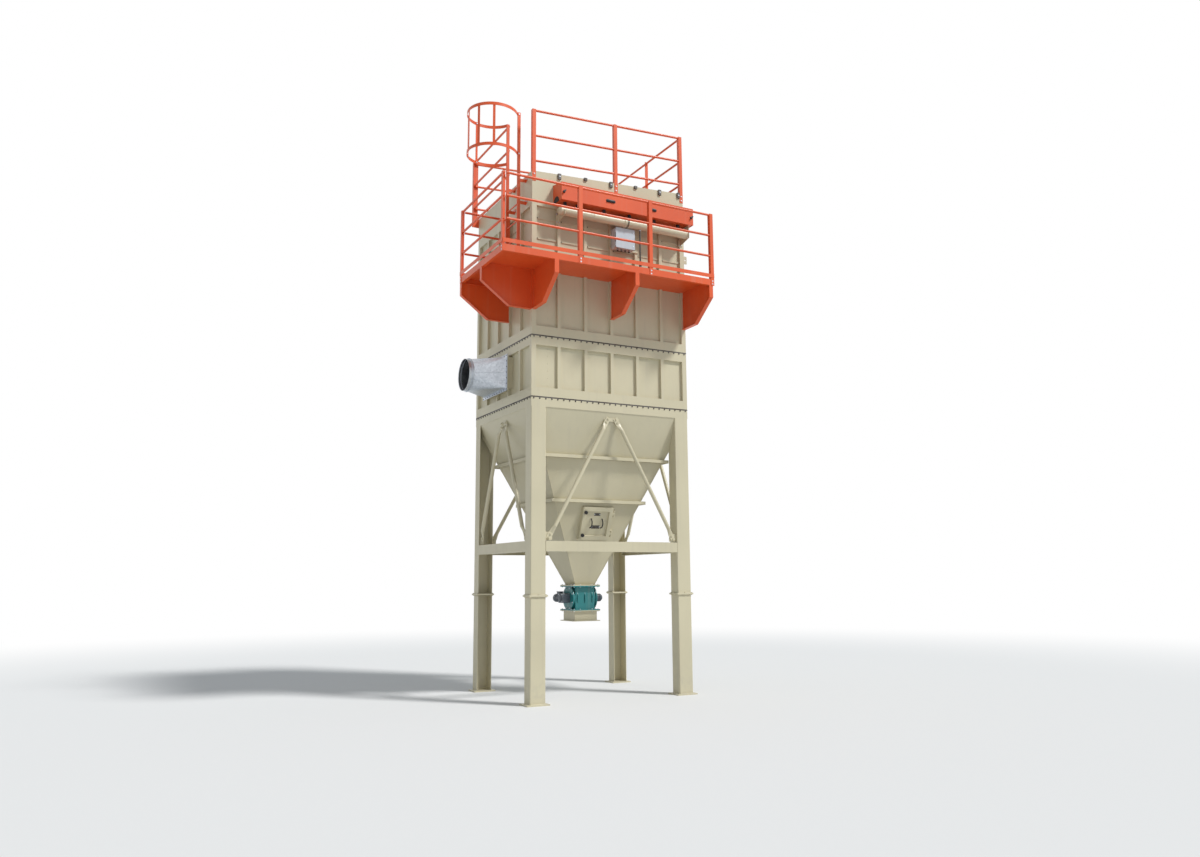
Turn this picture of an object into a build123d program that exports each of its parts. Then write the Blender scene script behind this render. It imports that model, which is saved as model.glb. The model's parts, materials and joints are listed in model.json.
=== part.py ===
from build123d import *
import math
import os

os.makedirs("parts", exist_ok=True)

# Frame: X runs along the front from left to right, Y from front to rear, Z up.
# The origin is on the floor, at the middle of the four legs. Millimetres.

# Casing
casing_width = 2800.0
casing_depth = 2300.0
skin = 5.0
panel_inset = 45.0
corner_width = 80.0
rib_width = 55.0
front_panels = 6
side_panels = 5
band_height = 150.0
leg_top = 4375.0
ring_height = 145.0
lower_casing_height = 955.0
upper_casing_height = 1545.0
plenum_height = 1045.0
roof_rise = 150.0
roof_thickness = 45.0
clamp_width = 50.0
tall_clamp_height = 85.0
low_clamp_height = 40.0
tall_clamp_places = (1.0, 3.0, 5.0, 5.8)
low_clamp_places = (2.0, 4.0)
clamp_reach = 26.0
clamp_sheet = 8.0
header_band_drop = 510.0
seam_bar_height = 25.0
seam_bar_depth = 14.0
seam_bar_level = 330.0
lifting_lug_level = 7090.0
lifting_lug_height = 130.0
lifting_lug_reach = 55.0
lifting_lug_sheet = 12.0
lifting_lug_hole = 14.0

# Legs
leg_web = 248.0
leg_flange = 200.0
leg_sheet = 8.0
leg_bend = 16.0
base_thickness = 20.0
base_length = 360.0
base_width = 290.0
base_reach = 36.0
anchor_spacing = 200.0
anchor_radius = 13.0
splice_height = 1545.0
splice_thickness = 24.0
splice_reach = 24.0

# Tie beams and braces
tie_bottom = 2205.0
tie_height = 155.0
tie_flange = 80.0
tie_sheet = 6.0
brace_diameter = 60.0
brace_flat = 10.0
brace_flat_width = 80.0
brace_tab = 110.0
brace_taper = 110.0
brace_foot_rise = 75.0
brace_foot_inset = 72.0
brace_head_half = 85.0
gusset_width = 260.0
gusset_height = 140.0
gusset_sheet = 10.0
lug_size = 120.0

# Ring beam and hopper
ring_sheet = 8.0
ring_flange = 100.0
hopper_sheet = 6.0
outlet_half = 170.0
outlet_flange_top = 1705.0
outlet_flange_half = 240.0
outlet_flange_sheet = 15.0
hopper_rib_levels = (3650.0, 2985.0)
hopper_rib_height = 50.0
hopper_rib_reach = 60.0
hopper_rib_sheet = 6.0

# Hopper door
door_level = 2685.0
door_width = 545.0
door_opening = 430.0
door_neck = 22.0
door_gap = 5.0
door_plate = 10.0
door_rim_width = 75.0
door_rim_height = 28.0
hinge_offset = 26.0
hinge_pin_radius = 8.0
hinge_play = 0.6
hinge_knuckle_radius = 15.0
hinge_knuckle_length = 46.0
hinge_knuckle_gap = 5.0
lug_foot = 12.0
hinge_spread = 330.0
knob_radius = 26.0
knob_inset = 40.0
knob_drop = 85.0
knob_neck_radius = 13.0
knob_neck_height = 12.0
knob_height = 28.0
pull_span = 150.0
pull_reach = 55.0
pull_radius = 9.0
pull_spread = 195.0

# Rotary valve and outlet
valve_height = 390.0
valve_drum_radius = 170.0
valve_drum_length = 400.0
valve_neck_half = 172.0
valve_flange_sheet = 16.0
valve_cover_radius = 192.0
valve_cover_sheet = 18.0
valve_rib_count = 3
valve_rib_sheet = 12.0
valve_rib_reach = 22.0
valve_shaft_radius = 20.0
bearing_radius = 48.0
bearing_length = 70.0
gearbox_size = 150.0
gearbox_depth = 140.0
motor_gap = 5.0
motor_radius = 62.0
motor_length = 210.0
spool_half = 200.0
spool_height = 170.0
spool_sheet = 5.0
spool_flange_sheet = 12.0
spool_bolt_spacing = 430.0
spool_bolt_radius = 9.0

# Inlet
inlet_shift = 150.0
inlet_level = 5040.0
inlet_width = 940.0
inlet_height = 500.0
port_reach = 60.0
inlet_flange_width = 45.0
inlet_flange_sheet = 8.0
inlet_length = 470.0
inlet_radius = 260.0
inlet_sheet = 3.0
collar_length = 70.0
collar_rim = 14.0
corner_folds = 8

# Clean air outlet
air_outlet_radius = 250.0
air_outlet_length = 160.0
air_outlet_sheet = 4.0
air_outlet_rim = 40.0
air_outlet_rim_sheet = 8.0
air_outlet_bolt_circle = 540.0
air_outlet_bolt_count = 12
air_outlet_bolt_radius = 5.5
air_outlet_drop = 460.0

# Pulse air
cover_left = 1040.0
cover_right_gap = 5.0
cover_reach = 310.0
cover_bottom = 7595.0
cover_front_height = 285.0
cover_top_rise = 45.0
cover_sheet = 4.0
tank_radius = 67.0
tank_reach = 190.0
tank_level = 7455.0
tank_end_radius = 40.0
tank_end_depth = 24.0
tank_coupling_x = 170.0
coupling_length = 100.0
coupling_rim = 9.0
bracket_edge = 18.0
bracket_sheet = 8.0
bracket_rise = 80.0
valve_count = 6
valve_stub_radius = 24.0
valve_body_radius = 50.0
valve_body_height = 62.0
valve_body_level = 7700.0
drain_radius = 13.0
drain_x = 430.0
drain_bottom = 6560.0
drain_valve_level = 6770.0
drain_valve_radius = 26.0
drain_valve_height = 45.0
box_width = 350.0
box_height = 335.0
box_depth = 150.0
box_x = 172.0
box_bottom = 7040.0
box_rail = 30.0
box_lid = 12.0
gland_radius = 14.0
gland_length = 26.0

# Platform
platform_level = 6517.0
platform_reach = 815.0
landing_reach = 820.0
landing_length = 930.0
platform_right = 25.0
floor_sheet = 8.0
edge_channel_height = 100.0
edge_channel_flange = 50.0
edge_sheet = 6.0
toe_gap = 25.0
toe_height = 60.0
toe_sheet = 5.0
bracket_plate = 8.0
bracket_lip = 70.0
bracket_tip = 200.0
bracket_knee_reach = 370.0
bracket_knee_drop = 537.0
bracket_root_drop = 542.0

# Railings
rail_height = 1100.0
post_size = 60.0
post_sheet = 6.0
rail_radius = 18.0
rail_inset = 17.0
rail_spacing = 345.0
front_post_places = (-970.0, 250.0)
roof_rail_height = 1035.0
roof_rail_spacing = 420.0
roof_post_drop = 160.0
roof_mid_post = 100.0
corner_post_reach = 128.0
corner_post_width = 104.0

# Ladder
ladder_standoff = 130.0
ladder_y = -690.0
ladder_half = 225.0
stile_depth = 50.0
stile_width = 22.0
rung_radius = 11.0
rung_pitch = 280.0
ladder_top = 9150.0
hoop_depth = 740.0
standoff_levels = (7650.0, 8020.0)
standoff_sheet = 10.0
standoff_height = 50.0
hoop_flat = 50.0
hoop_sheet = 6.0
hoop_levels = (8430.0, 9095.0)
strap_width = 40.0
strap_sheet = 6.0
strap_angles = (-72.0, -36.0, 0.0, 36.0, 72.0)

# Worked out from the sizes above
half_width = casing_width / 2
half_depth = casing_depth / 2
ring_top = leg_top + ring_height
lower_top = ring_top + lower_casing_height
upper_top = lower_top + upper_casing_height
plenum_top_left = upper_top + plenum_height
plenum_top_right = plenum_top_left + roof_rise
front_pitch = casing_width / front_panels
side_pitch = casing_depth / side_panels
skin_half_width = half_width - panel_inset
skin_half_depth = half_depth - panel_inset
hopper_top_x = half_width - leg_sheet
hopper_top_y = half_depth - leg_sheet
hopper_height = leg_top - outlet_flange_top


def save(piece, label):
    """Name a finished piece and write it to its own file."""
    piece.label = label
    export_step(piece, "parts/" + label + ".step")


def level(height):
    """Horizontal plane at a height above the floor."""
    return Plane.XY.offset(height)


def roof_line(x):
    """Height of the plenum's top edge at a place along the front."""
    return plenum_top_left + roof_rise * (x + half_width) / casing_width


def hopper_half(height, top_half):
    """Half size of the hopper's outside at a height, along one of its two axes."""
    share = (height - outlet_flange_top) / hopper_height
    return outlet_half + (top_half - outlet_half) * share


def channel_section(web, flange, sheet, bend):
    """Sketch of a folded channel: its web lies along X at Y = 0 and it opens towards +Y."""
    with BuildSketch() as section:
        with Locations((0, flange / 2)):
            Rectangle(web, flange)
        fillet(section.vertices().group_by(Axis.Y)[0], bend)
        with Locations((0, sheet + flange / 2)):
            Rectangle(web - 2 * sheet, flange, mode=Mode.SUBTRACT)
    return section.sketch


def frame_section(outer_x, outer_y, width):
    """Sketch of a rectangular frame of one width, given by its outer half sizes."""
    with BuildSketch() as section:
        Rectangle(2 * outer_x, 2 * outer_y)
        Rectangle(2 * (outer_x - width), 2 * (outer_y - width), mode=Mode.SUBTRACT)
    return section.sketch


# Outer form of the hopper, also used to notch what fits against it
with BuildPart() as hopper_form:
    with BuildSketch(level(outlet_flange_top)):
        Rectangle(2 * outlet_half, 2 * outlet_half)
    with BuildSketch(level(leg_top)):
        Rectangle(2 * hopper_top_x, 2 * hopper_top_y)
    loft(ruled=True)


# Legs: channel in two lengths with a bolted splice, web outwards, notched to the hopper's corner
def make_leg(label, side_x, side_y):
    turn = -side_y
    corner = Plane(
        origin=(side_x * (half_width - leg_web / 2), side_y * half_depth, 0),
        x_dir=(turn, 0, 0),
        z_dir=(0, 0, 1),
    )
    with BuildPart() as leg:
        with BuildSketch(corner):
            with Locations((0, base_width / 2 - base_reach)):
                Rectangle(base_length, base_width)
                with GridLocations(anchor_spacing, 0, 2, 1):
                    Circle(anchor_radius, mode=Mode.SUBTRACT)
        extrude(amount=base_thickness)
        with BuildSketch(corner.offset(base_thickness)):
            add(channel_section(leg_web, leg_flange, leg_sheet, leg_bend))
        extrude(amount=leg_top - base_thickness)
        with BuildSketch(corner.offset(splice_height)):
            with Locations((0, leg_flange / 2)):
                Rectangle(leg_web + 2 * splice_reach, leg_flange + 2 * splice_reach)
        extrude(amount=splice_thickness)
        add(hopper_form.part, mode=Mode.SUBTRACT)
        with BuildSketch(corner.offset(leg_top)):
            Rectangle(4 * leg_web, 4 * leg_web)
        extrude(amount=base_thickness, mode=Mode.SUBTRACT)
    save(leg.part, label)


make_leg("leg_front_left", -1, -1)
make_leg("leg_front_right", 1, -1)
make_leg("leg_rear_left", -1, 1)
make_leg("leg_rear_right", 1, 1)


sides = ("front", "rear", "left", "right")


# Each side of the frame has a plane that stands up on the leg line: X along the side, Y up, Z outwards
def side_plane(side):
    places = {
        "front": ((0, -half_depth, 0), (1, 0, 0), (0, -1, 0)),
        "rear": ((0, half_depth, 0), (-1, 0, 0), (0, 1, 0)),
        "left": ((-half_width, 0, 0), (0, -1, 0), (-1, 0, 0)),
        "right": ((half_width, 0, 0), (0, 1, 0), (1, 0, 0)),
    }
    origin, along, outward = places[side]
    return Plane(origin=origin, x_dir=along, z_dir=outward)


def clear_span(side):
    """Half of the free length between the two legs of one side."""
    if side in ("front", "rear"):
        return half_width - leg_web
    return half_depth - leg_flange


# Tie beams: folded channels with end plates, web outwards
with BuildPart() as tie_beams:
    for side_name in sides:
        tie_face = side_plane(side_name)
        tie_half = clear_span(side_name)
        with BuildSketch(tie_face):
            with Locations((0, tie_bottom + tie_height / 2)):
                Rectangle(2 * tie_half, tie_height)
        extrude(amount=-tie_flange)
        with BuildSketch(tie_face.offset(-tie_sheet)):
            with Locations((0, tie_bottom + tie_height / 2)):
                Rectangle(2 * (tie_half - tie_sheet), tie_height - 2 * tie_sheet)
        extrude(amount=-tie_flange, mode=Mode.SUBTRACT)
save(tie_beams.part, "tie_beams")


# Braces: two tubes with flattened ends, from a gusset under the ring beam to lugs on the legs
def make_braces(side):
    face = side_plane(side)
    half = clear_span(side)
    mid_depth = -tie_flange / 2
    foot_level = tie_bottom + tie_height + brace_foot_rise
    head_level = leg_top - gusset_height + brace_flat
    with BuildPart() as braces:
        with BuildSketch(face.offset(mid_depth - gusset_sheet)):
            with Locations((0, leg_top - gusset_height / 2)):
                Rectangle(gusset_width, gusset_height)
        extrude(amount=gusset_sheet)
        for hand in (-1, 1):
            with BuildSketch(face.offset(mid_depth - gusset_sheet)):
                with Locations((hand * (half - lug_size / 2), foot_level)):
                    Rectangle(lug_size, lug_size)
            extrude(amount=gusset_sheet)
            foot = Vector(hand * (half - brace_foot_inset), foot_level)
            head = Vector(hand * brace_head_half, head_level)
            run = head - foot
            ends = face.offset(mid_depth)
            start = ends.from_local_coords(foot)
            axis = ends.from_local_coords(head) - start
            across = face.z_dir.cross(axis)
            length = run.length
            rod = Plane(origin=start, x_dir=across, z_dir=axis)
            seat = brace_flat / 2
            tube_start = brace_tab / 2 + brace_taper
            with BuildSketch(rod.offset(-brace_tab / 2)):
                with Locations((0, seat)):
                    Rectangle(brace_flat_width, brace_flat)
            extrude(amount=brace_tab)
            with BuildSketch(rod.offset(length - brace_tab / 2)):
                with Locations((0, seat)):
                    Rectangle(brace_flat_width, brace_flat)
            extrude(amount=brace_tab)
            with BuildSketch(rod.offset(tube_start)):
                with Locations((0, brace_diameter / 2)):
                    Circle(brace_diameter / 2)
            extrude(amount=length - 2 * tube_start)
            tapers = ((brace_tab / 2, tube_start), (length - brace_tab / 2, length - tube_start))
            for near, far in tapers:
                with BuildSketch(rod.offset(near)):
                    with Locations((0, seat)):
                        Rectangle(brace_flat_width, brace_flat)
                with BuildSketch(rod.offset(far)):
                    with Locations((0, brace_diameter / 2)):
                        Circle(brace_diameter / 2)
                loft()
        add(hopper_form.part, mode=Mode.SUBTRACT)
    save(braces.part, "braces_" + side)


for side_name in sides:
    make_braces(side_name)

# Ring beam: channel frame on the legs that carries the casing and holds the hopper
with BuildPart() as ring_beam:
    with BuildSketch(level(leg_top)):
        add(frame_section(half_width, half_depth, ring_sheet))
    extrude(amount=ring_height)
    for flange_level in (leg_top, ring_top - ring_sheet):
        with BuildSketch(level(flange_level)):
            add(frame_section(half_width, half_depth, ring_flange))
        extrude(amount=ring_sheet)
save(ring_beam.part, "ring_beam")

# Door plane: on the hopper's front sheet, X to the right, Y up the slope, Z outwards
slope_run = hopper_top_y - outlet_half
slope_angle = math.atan2(slope_run, hopper_height)
door_plane = Plane(
    origin=(0, -hopper_half(door_level, hopper_top_y), door_level),
    x_dir=(1, 0, 0),
    z_dir=(0, -math.cos(slope_angle), -math.sin(slope_angle)),
)

# Hopper: sheet pyramid with its square outlet flange and the door's opening
with BuildPart() as hopper:
    add(hopper_form.part)
    with BuildSketch(level(outlet_flange_top)):
        Rectangle(2 * (outlet_half - hopper_sheet), 2 * (outlet_half - hopper_sheet))
    with BuildSketch(level(leg_top)):
        Rectangle(2 * (hopper_top_x - hopper_sheet), 2 * (hopper_top_y - hopper_sheet))
    loft(ruled=True, mode=Mode.SUBTRACT)
    with BuildSketch(level(outlet_flange_top - outlet_flange_sheet)):
        Rectangle(2 * outlet_flange_half, 2 * outlet_flange_half)
        Rectangle(2 * (outlet_half - hopper_sheet), 2 * (outlet_half - hopper_sheet), mode=Mode.SUBTRACT)
    extrude(amount=outlet_flange_sheet)
    with BuildSketch(door_plane.offset(-4 * hopper_sheet)):
        Rectangle(door_opening, door_opening)
    extrude(amount=8 * hopper_sheet, mode=Mode.SUBTRACT)
save(hopper.part, "hopper")

# Hopper ribs: two angle frames fitted to the slope
with BuildPart() as hopper_ribs:
    for rib_level in hopper_rib_levels:
        rib_x = hopper_half(rib_level + hopper_rib_height, hopper_top_x) + hopper_rib_reach
        rib_y = hopper_half(rib_level + hopper_rib_height, hopper_top_y) + hopper_rib_reach
        with BuildSketch(level(rib_level)):
            Rectangle(2 * rib_x, 2 * rib_y)
        extrude(amount=hopper_rib_height)
        with BuildSketch(level(rib_level)):
            Rectangle(2 * (rib_x - hopper_rib_sheet), 2 * (rib_y - hopper_rib_sheet))
        extrude(amount=hopper_rib_height - hopper_rib_sheet, mode=Mode.SUBTRACT)
    add(hopper_form.part, mode=Mode.SUBTRACT)
save(hopper_ribs.part, "hopper_ribs")

# Door frame: a neck on the hopper's sheet with two hinge lugs and their pins
hinge_x = door_width / 2 + hinge_offset
hinge_z = door_neck + door_gap + hinge_knuckle_radius
lug_length = hinge_knuckle_length / 2
with BuildPart() as door_frame:
    with BuildSketch(door_plane):
        Rectangle(door_width, door_width)
        Rectangle(door_opening, door_opening, mode=Mode.SUBTRACT)
    extrude(amount=door_neck)
    for hinge_side in (-1, 1):
        hinge_y = hinge_side * hinge_spread / 2
        for lug_side in (-1, 1):
            lug_y = hinge_y + lug_side * (hinge_knuckle_length / 2 + hinge_knuckle_gap + lug_length / 2)
            lug_plane = Plane(
                origin=door_plane.from_local_coords((0, lug_y - lug_length / 2, 0)),
                x_dir=door_plane.x_dir,
                z_dir=door_plane.y_dir,
            )
            with BuildSketch(lug_plane):
                with Locations((hinge_x, -hinge_z / 2)):
                    Rectangle(2 * hinge_knuckle_radius, hinge_z)
                with Locations((hinge_x, -hinge_z)):
                    Circle(hinge_knuckle_radius)
                with Locations((hinge_x - hinge_offset / 2, -lug_foot / 2)):
                    Rectangle(hinge_offset, lug_foot)
            extrude(amount=lug_length)
        pin_length = hinge_knuckle_length + 2 * hinge_knuckle_gap + 2 * lug_length
        pin_plane = Plane(
            origin=door_plane.from_local_coords((hinge_x, hinge_y - pin_length / 2, hinge_z)),
            x_dir=door_plane.x_dir,
            z_dir=door_plane.y_dir,
        )
        with BuildSketch(pin_plane):
            Circle(hinge_pin_radius)
        extrude(amount=pin_length)
    add(hopper_form.part, mode=Mode.SUBTRACT)
save(door_frame.part, "door_frame")

# Door leaf: plate with a raised rim and two hinge arms
leaf_back = door_neck + door_gap
with BuildPart() as hopper_door:
    with BuildSketch(door_plane.offset(leaf_back)):
        RectangleRounded(door_width, door_width, 20)
    extrude(amount=door_plate)
    with BuildSketch(door_plane.offset(leaf_back + door_plate)):
        RectangleRounded(door_width, door_width, 20)
        Rectangle(door_width - 2 * door_rim_width, door_width - 2 * door_rim_width, mode=Mode.SUBTRACT)
    extrude(amount=door_rim_height, taper=12)
    for hinge_side in (-1, 1):
        arm_start = hinge_side * hinge_spread / 2 - hinge_knuckle_length / 2
        arm_plane = Plane(
            origin=door_plane.from_local_coords((0, arm_start, 0)),
            x_dir=door_plane.x_dir,
            z_dir=door_plane.y_dir,
        )
        with BuildSketch(arm_plane):
            with Locations((hinge_x - hinge_offset, -hinge_z)):
                Rectangle(2 * hinge_offset, 2 * hinge_knuckle_radius - door_gap)
            with Locations((hinge_x, -hinge_z)):
                Circle(hinge_knuckle_radius)
                Circle(hinge_pin_radius + hinge_play, mode=Mode.SUBTRACT)
        extrude(amount=hinge_knuckle_length)
save(hopper_door.part, "hopper_door")

# Door handles: two clamp knobs on the rim at the free side and two bowed pulls on the leaf
with BuildPart() as door_handles:
    for knob_side in (-1, 1):
        knob_place = (
            -door_width / 2 + knob_inset,
            knob_side * (door_width / 2 - knob_drop),
            leaf_back + door_plate + door_rim_height,
        )
        knob_plane = Plane(
            origin=door_plane.from_local_coords(knob_place),
            x_dir=door_plane.x_dir,
            z_dir=door_plane.z_dir,
        )
        with BuildSketch(knob_plane):
            Circle(knob_neck_radius)
        extrude(amount=knob_neck_height)
        with BuildSketch(knob_plane.offset(knob_neck_height)):
            Circle(knob_radius)
        extrude(amount=knob_height)
    for pull_side in (-1, 1):
        pull_plane = Plane(
            origin=door_plane.from_local_coords((pull_side * pull_spread / 2, 0, leaf_back + door_plate)),
            x_dir=door_plane.y_dir,
            z_dir=door_plane.x_dir,
        )
        with BuildLine(pull_plane) as pull_path:
            ThreePointArc((-pull_span / 2, 0), (0, pull_reach), (pull_span / 2, 0))
        with BuildSketch(Plane(origin=pull_path.line @ 0, z_dir=pull_path.line % 0)):
            Circle(pull_radius)
        sweep(path=pull_path.line)
    add(hopper_door.part, mode=Mode.SUBTRACT)
save(door_handles.part, "door_handles")

# Rotary valve: ribbed drum along X between two square flanges, with round end covers
valve_top = outlet_flange_top - outlet_flange_sheet
valve_bottom = valve_top - valve_height
valve_axis = valve_top - valve_height / 2
drum_plane = Plane(origin=(0, 0, valve_axis), x_dir=(0, 1, 0), z_dir=(1, 0, 0))
with BuildPart() as rotary_valve:
    with BuildSketch(drum_plane):
        Circle(valve_drum_radius)
    extrude(amount=valve_drum_length / 2, both=True)
    for rib_index in range(valve_rib_count):
        rib_shift = (rib_index - (valve_rib_count - 1) / 2) * valve_drum_length / valve_rib_count
        with BuildSketch(drum_plane.offset(rib_shift)):
            Circle(valve_drum_radius + valve_rib_reach)
        extrude(amount=valve_rib_sheet / 2, both=True)
    for cover_side in (-1, 1):
        with BuildSketch(drum_plane.offset(cover_side * valve_drum_length / 2)):
            Circle(valve_cover_radius)
        extrude(amount=cover_side * valve_cover_sheet)
    with BuildSketch(level(valve_bottom)):
        Rectangle(2 * valve_neck_half, 2 * valve_neck_half)
    extrude(amount=valve_height)
    for flange_level in (valve_bottom, valve_top - valve_flange_sheet):
        with BuildSketch(level(flange_level)):
            Rectangle(2 * outlet_flange_half, 2 * outlet_flange_half)
        extrude(amount=valve_flange_sheet)
save(rotary_valve.part, "rotary_valve")

# Shaft end and bearing on the valve's right cover
cover_face = valve_drum_length / 2 + valve_cover_sheet
with BuildPart() as valve_bearing:
    with BuildSketch(drum_plane.offset(cover_face)):
        Circle(bearing_radius)
    extrude(amount=bearing_length, taper=6)
    with BuildSketch(drum_plane.offset(cover_face + bearing_length)):
        Circle(valve_shaft_radius)
    extrude(amount=bearing_length / 2)
save(valve_bearing.part, "valve_bearing")

# Gear motor on the valve's left cover
with BuildPart() as valve_motor:
    with BuildSketch(drum_plane.offset(-cover_face)):
        RectangleRounded(gearbox_size, gearbox_size, 20)
    extrude(amount=-gearbox_depth)
    motor_plane = Plane(
        origin=(-cover_face - motor_gap - motor_radius, gearbox_size / 2, valve_axis),
        x_dir=(1, 0, 0),
        z_dir=(0, 1, 0),
    )
    with BuildSketch(motor_plane):
        Circle(motor_radius)
    extrude(amount=motor_length)
save(valve_motor.part, "valve_motor")

# Outlet spool under the valve
spool_bottom = valve_bottom - spool_height
with BuildPart() as outlet_spool:
    with BuildSketch(level(spool_bottom)):
        Rectangle(2 * spool_half, 2 * spool_half)
        Rectangle(2 * (spool_half - spool_sheet), 2 * (spool_half - spool_sheet), mode=Mode.SUBTRACT)
    extrude(amount=spool_height)
    for flange_level in (spool_bottom, valve_bottom - spool_flange_sheet):
        with BuildSketch(level(flange_level)):
            Rectangle(2 * outlet_flange_half, 2 * outlet_flange_half)
            Rectangle(2 * (spool_half - spool_sheet), 2 * (spool_half - spool_sheet), mode=Mode.SUBTRACT)
        extrude(amount=spool_flange_sheet)
    with BuildSketch(level(spool_bottom)):
        with GridLocations(spool_bolt_spacing, spool_bolt_spacing, 2, 2):
            Circle(spool_bolt_radius)
    extrude(amount=spool_flange_sheet, mode=Mode.SUBTRACT)
save(outlet_spool.part, "outlet_spool")


# Casing walls: recessed sheet with a folded rib between panels, square corners and flush bands
def add_skin(bottom, top):
    with BuildSketch(level(bottom)) as section:
        add(frame_section(skin_half_width, skin_half_depth, skin))
    extrude(section.sketch, amount=top - bottom)


def add_band(bottom, top):
    with BuildSketch(level(bottom)) as section:
        add(frame_section(half_width, half_depth, skin))
    extrude(section.sketch, amount=top - bottom)
    for flange_level in (bottom, top - skin):
        with BuildSketch(level(flange_level)) as section:
            add(frame_section(half_width, half_depth, panel_inset))
        extrude(section.sketch, amount=skin)


def add_ribs(bottom, top):
    mid_x = half_width - panel_inset / 2
    mid_y = half_depth - panel_inset / 2
    core_x = skin_half_width + (panel_inset - skin) / 2
    core_y = skin_half_depth + (panel_inset - skin) / 2
    with BuildSketch(level(bottom)) as section:
        with GridLocations(2 * (half_width - corner_width / 2), 2 * (half_depth - corner_width / 2), 2, 2):
            Rectangle(corner_width, corner_width)
        Rectangle(2 * skin_half_width, 2 * skin_half_depth, mode=Mode.SUBTRACT)
        with GridLocations(front_pitch, 2 * mid_y, front_panels - 1, 2):
            Rectangle(rib_width, panel_inset)
        with GridLocations(2 * mid_x, side_pitch, 2, side_panels - 1):
            Rectangle(panel_inset, rib_width)
        with GridLocations(front_pitch, 2 * core_y, front_panels - 1, 2):
            Rectangle(rib_width - 2 * skin, panel_inset - skin, mode=Mode.SUBTRACT)
        with GridLocations(2 * core_x, side_pitch, 2, side_panels - 1):
            Rectangle(panel_inset - skin, rib_width - 2 * skin, mode=Mode.SUBTRACT)
    extrude(section.sketch, amount=top - bottom)


# Inlet plane: on the left side at the inlet's middle, X towards the front, Y up, Z outwards
inlet_plane = Plane(
    origin=(-half_width, inlet_shift, inlet_level),
    x_dir=(0, -1, 0),
    z_dir=(-1, 0, 0),
)
port_width = inlet_width + 2 * skin
port_height = inlet_height + 2 * skin

with BuildPart() as lower_casing:
    add_skin(ring_top, lower_top)
    add_band(ring_top, ring_top + band_height)
    add_band(lower_top - band_height, lower_top)
    add_ribs(ring_top + band_height, lower_top - band_height)
    with BuildSketch(inlet_plane):
        Rectangle(port_width, port_height)
    extrude(amount=-2 * panel_inset, mode=Mode.SUBTRACT)
save(lower_casing.part, "lower_casing")

with BuildPart() as upper_casing:
    add_skin(lower_top, upper_top)
    add_band(lower_top, lower_top + band_height)
    add_ribs(lower_top + band_height, upper_top)
save(upper_casing.part, "upper_casing")

# Plenum: ribbed below, flush band round the top, cut to the roof's fall
band_bottom = plenum_top_left - header_band_drop
air_outlet_level = plenum_top_left - air_outlet_drop
with BuildPart() as plenum:
    add_skin(upper_top, plenum_top_right)
    add_ribs(upper_top, band_bottom)
    add_band(band_bottom, plenum_top_right)
    bar_half_width = skin_half_width + seam_bar_depth
    bar_half_depth = skin_half_depth + seam_bar_depth
    for bar_level in (upper_top, upper_top + seam_bar_level):
        with BuildSketch(level(bar_level)):
            add(frame_section(bar_half_width, bar_half_depth, seam_bar_depth))
        extrude(amount=seam_bar_height)
    with BuildSketch(Plane.XZ):
        Polygon(
            (-casing_width, roof_line(-casing_width)),
            (casing_width, roof_line(casing_width)),
            (casing_width, 2 * plenum_top_right),
            (-casing_width, 2 * plenum_top_right),
            align=None,
        )
    extrude(amount=casing_depth, both=True, mode=Mode.SUBTRACT)
    with BuildSketch(Plane(origin=(0, half_depth, air_outlet_level), x_dir=(-1, 0, 0), z_dir=(0, 1, 0))):
        Circle(air_outlet_radius)
    extrude(amount=-2 * panel_inset, mode=Mode.SUBTRACT)
    lug_side = Plane(origin=(half_width, -half_depth, lifting_lug_level), x_dir=(1, 0, 0), z_dir=(0, -1, 0))
    with BuildSketch(lug_side):
        with Locations((lifting_lug_reach / 2, 0)):
            Rectangle(lifting_lug_reach, lifting_lug_height)
            Circle(lifting_lug_hole, mode=Mode.SUBTRACT)
    extrude(amount=-lifting_lug_sheet)
save(plenum.part, "plenum")

# Roof: single fall towards the left, folded edge all round
with BuildPart() as roof:
    with BuildSketch(Plane.XZ):
        Polygon(
            (-half_width, roof_line(-half_width)),
            (half_width, roof_line(half_width)),
            (half_width, roof_line(half_width) + roof_thickness),
            (-half_width, roof_line(-half_width) + roof_thickness),
            align=None,
        )
    extrude(amount=half_depth, both=True)
    with BuildSketch(Plane.XZ):
        Polygon(
            (-half_width + skin, roof_line(-half_width + skin)),
            (half_width - skin, roof_line(half_width - skin)),
            (half_width - skin, roof_line(half_width - skin) + roof_thickness - skin),
            (-half_width + skin, roof_line(-half_width + skin) + roof_thickness - skin),
            align=None,
        )
    extrude(amount=half_depth - skin, both=True, mode=Mode.SUBTRACT)
save(roof.part, "roof")


# Roof clamps: hooks that pull the roof's edge down on the plenum, front and rear
def add_clamp(place, side, height):
    """One hook, at a place counted in front panels from the left."""
    x = -half_width + place * front_pitch
    top = roof_line(x - clamp_width / 2) + roof_thickness
    face = Plane(origin=(x, side * half_depth, 0), x_dir=(0, side, 0), z_dir=(side, 0, 0))
    with BuildSketch(face) as section:
        with BuildLine():
            Polyline(
                (0, top - height),
                (clamp_reach, top - height),
                (clamp_reach, top + clamp_sheet),
                (-clamp_reach, top + clamp_sheet),
                (-clamp_reach, top),
                (0, top),
                close=True,
            )
        make_face()
    extrude(section.sketch, amount=clamp_width / 2, both=True)


with BuildPart() as roof_clamps:
    for clamp_side in (-1, 1):
        for clamp_place in tall_clamp_places:
            add_clamp(clamp_place, clamp_side, tall_clamp_height)
        for clamp_place in low_clamp_places:
            add_clamp(clamp_place, clamp_side, low_clamp_height)
    add(roof.part, mode=Mode.SUBTRACT)
save(roof_clamps.part, "roof_clamps")

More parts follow.
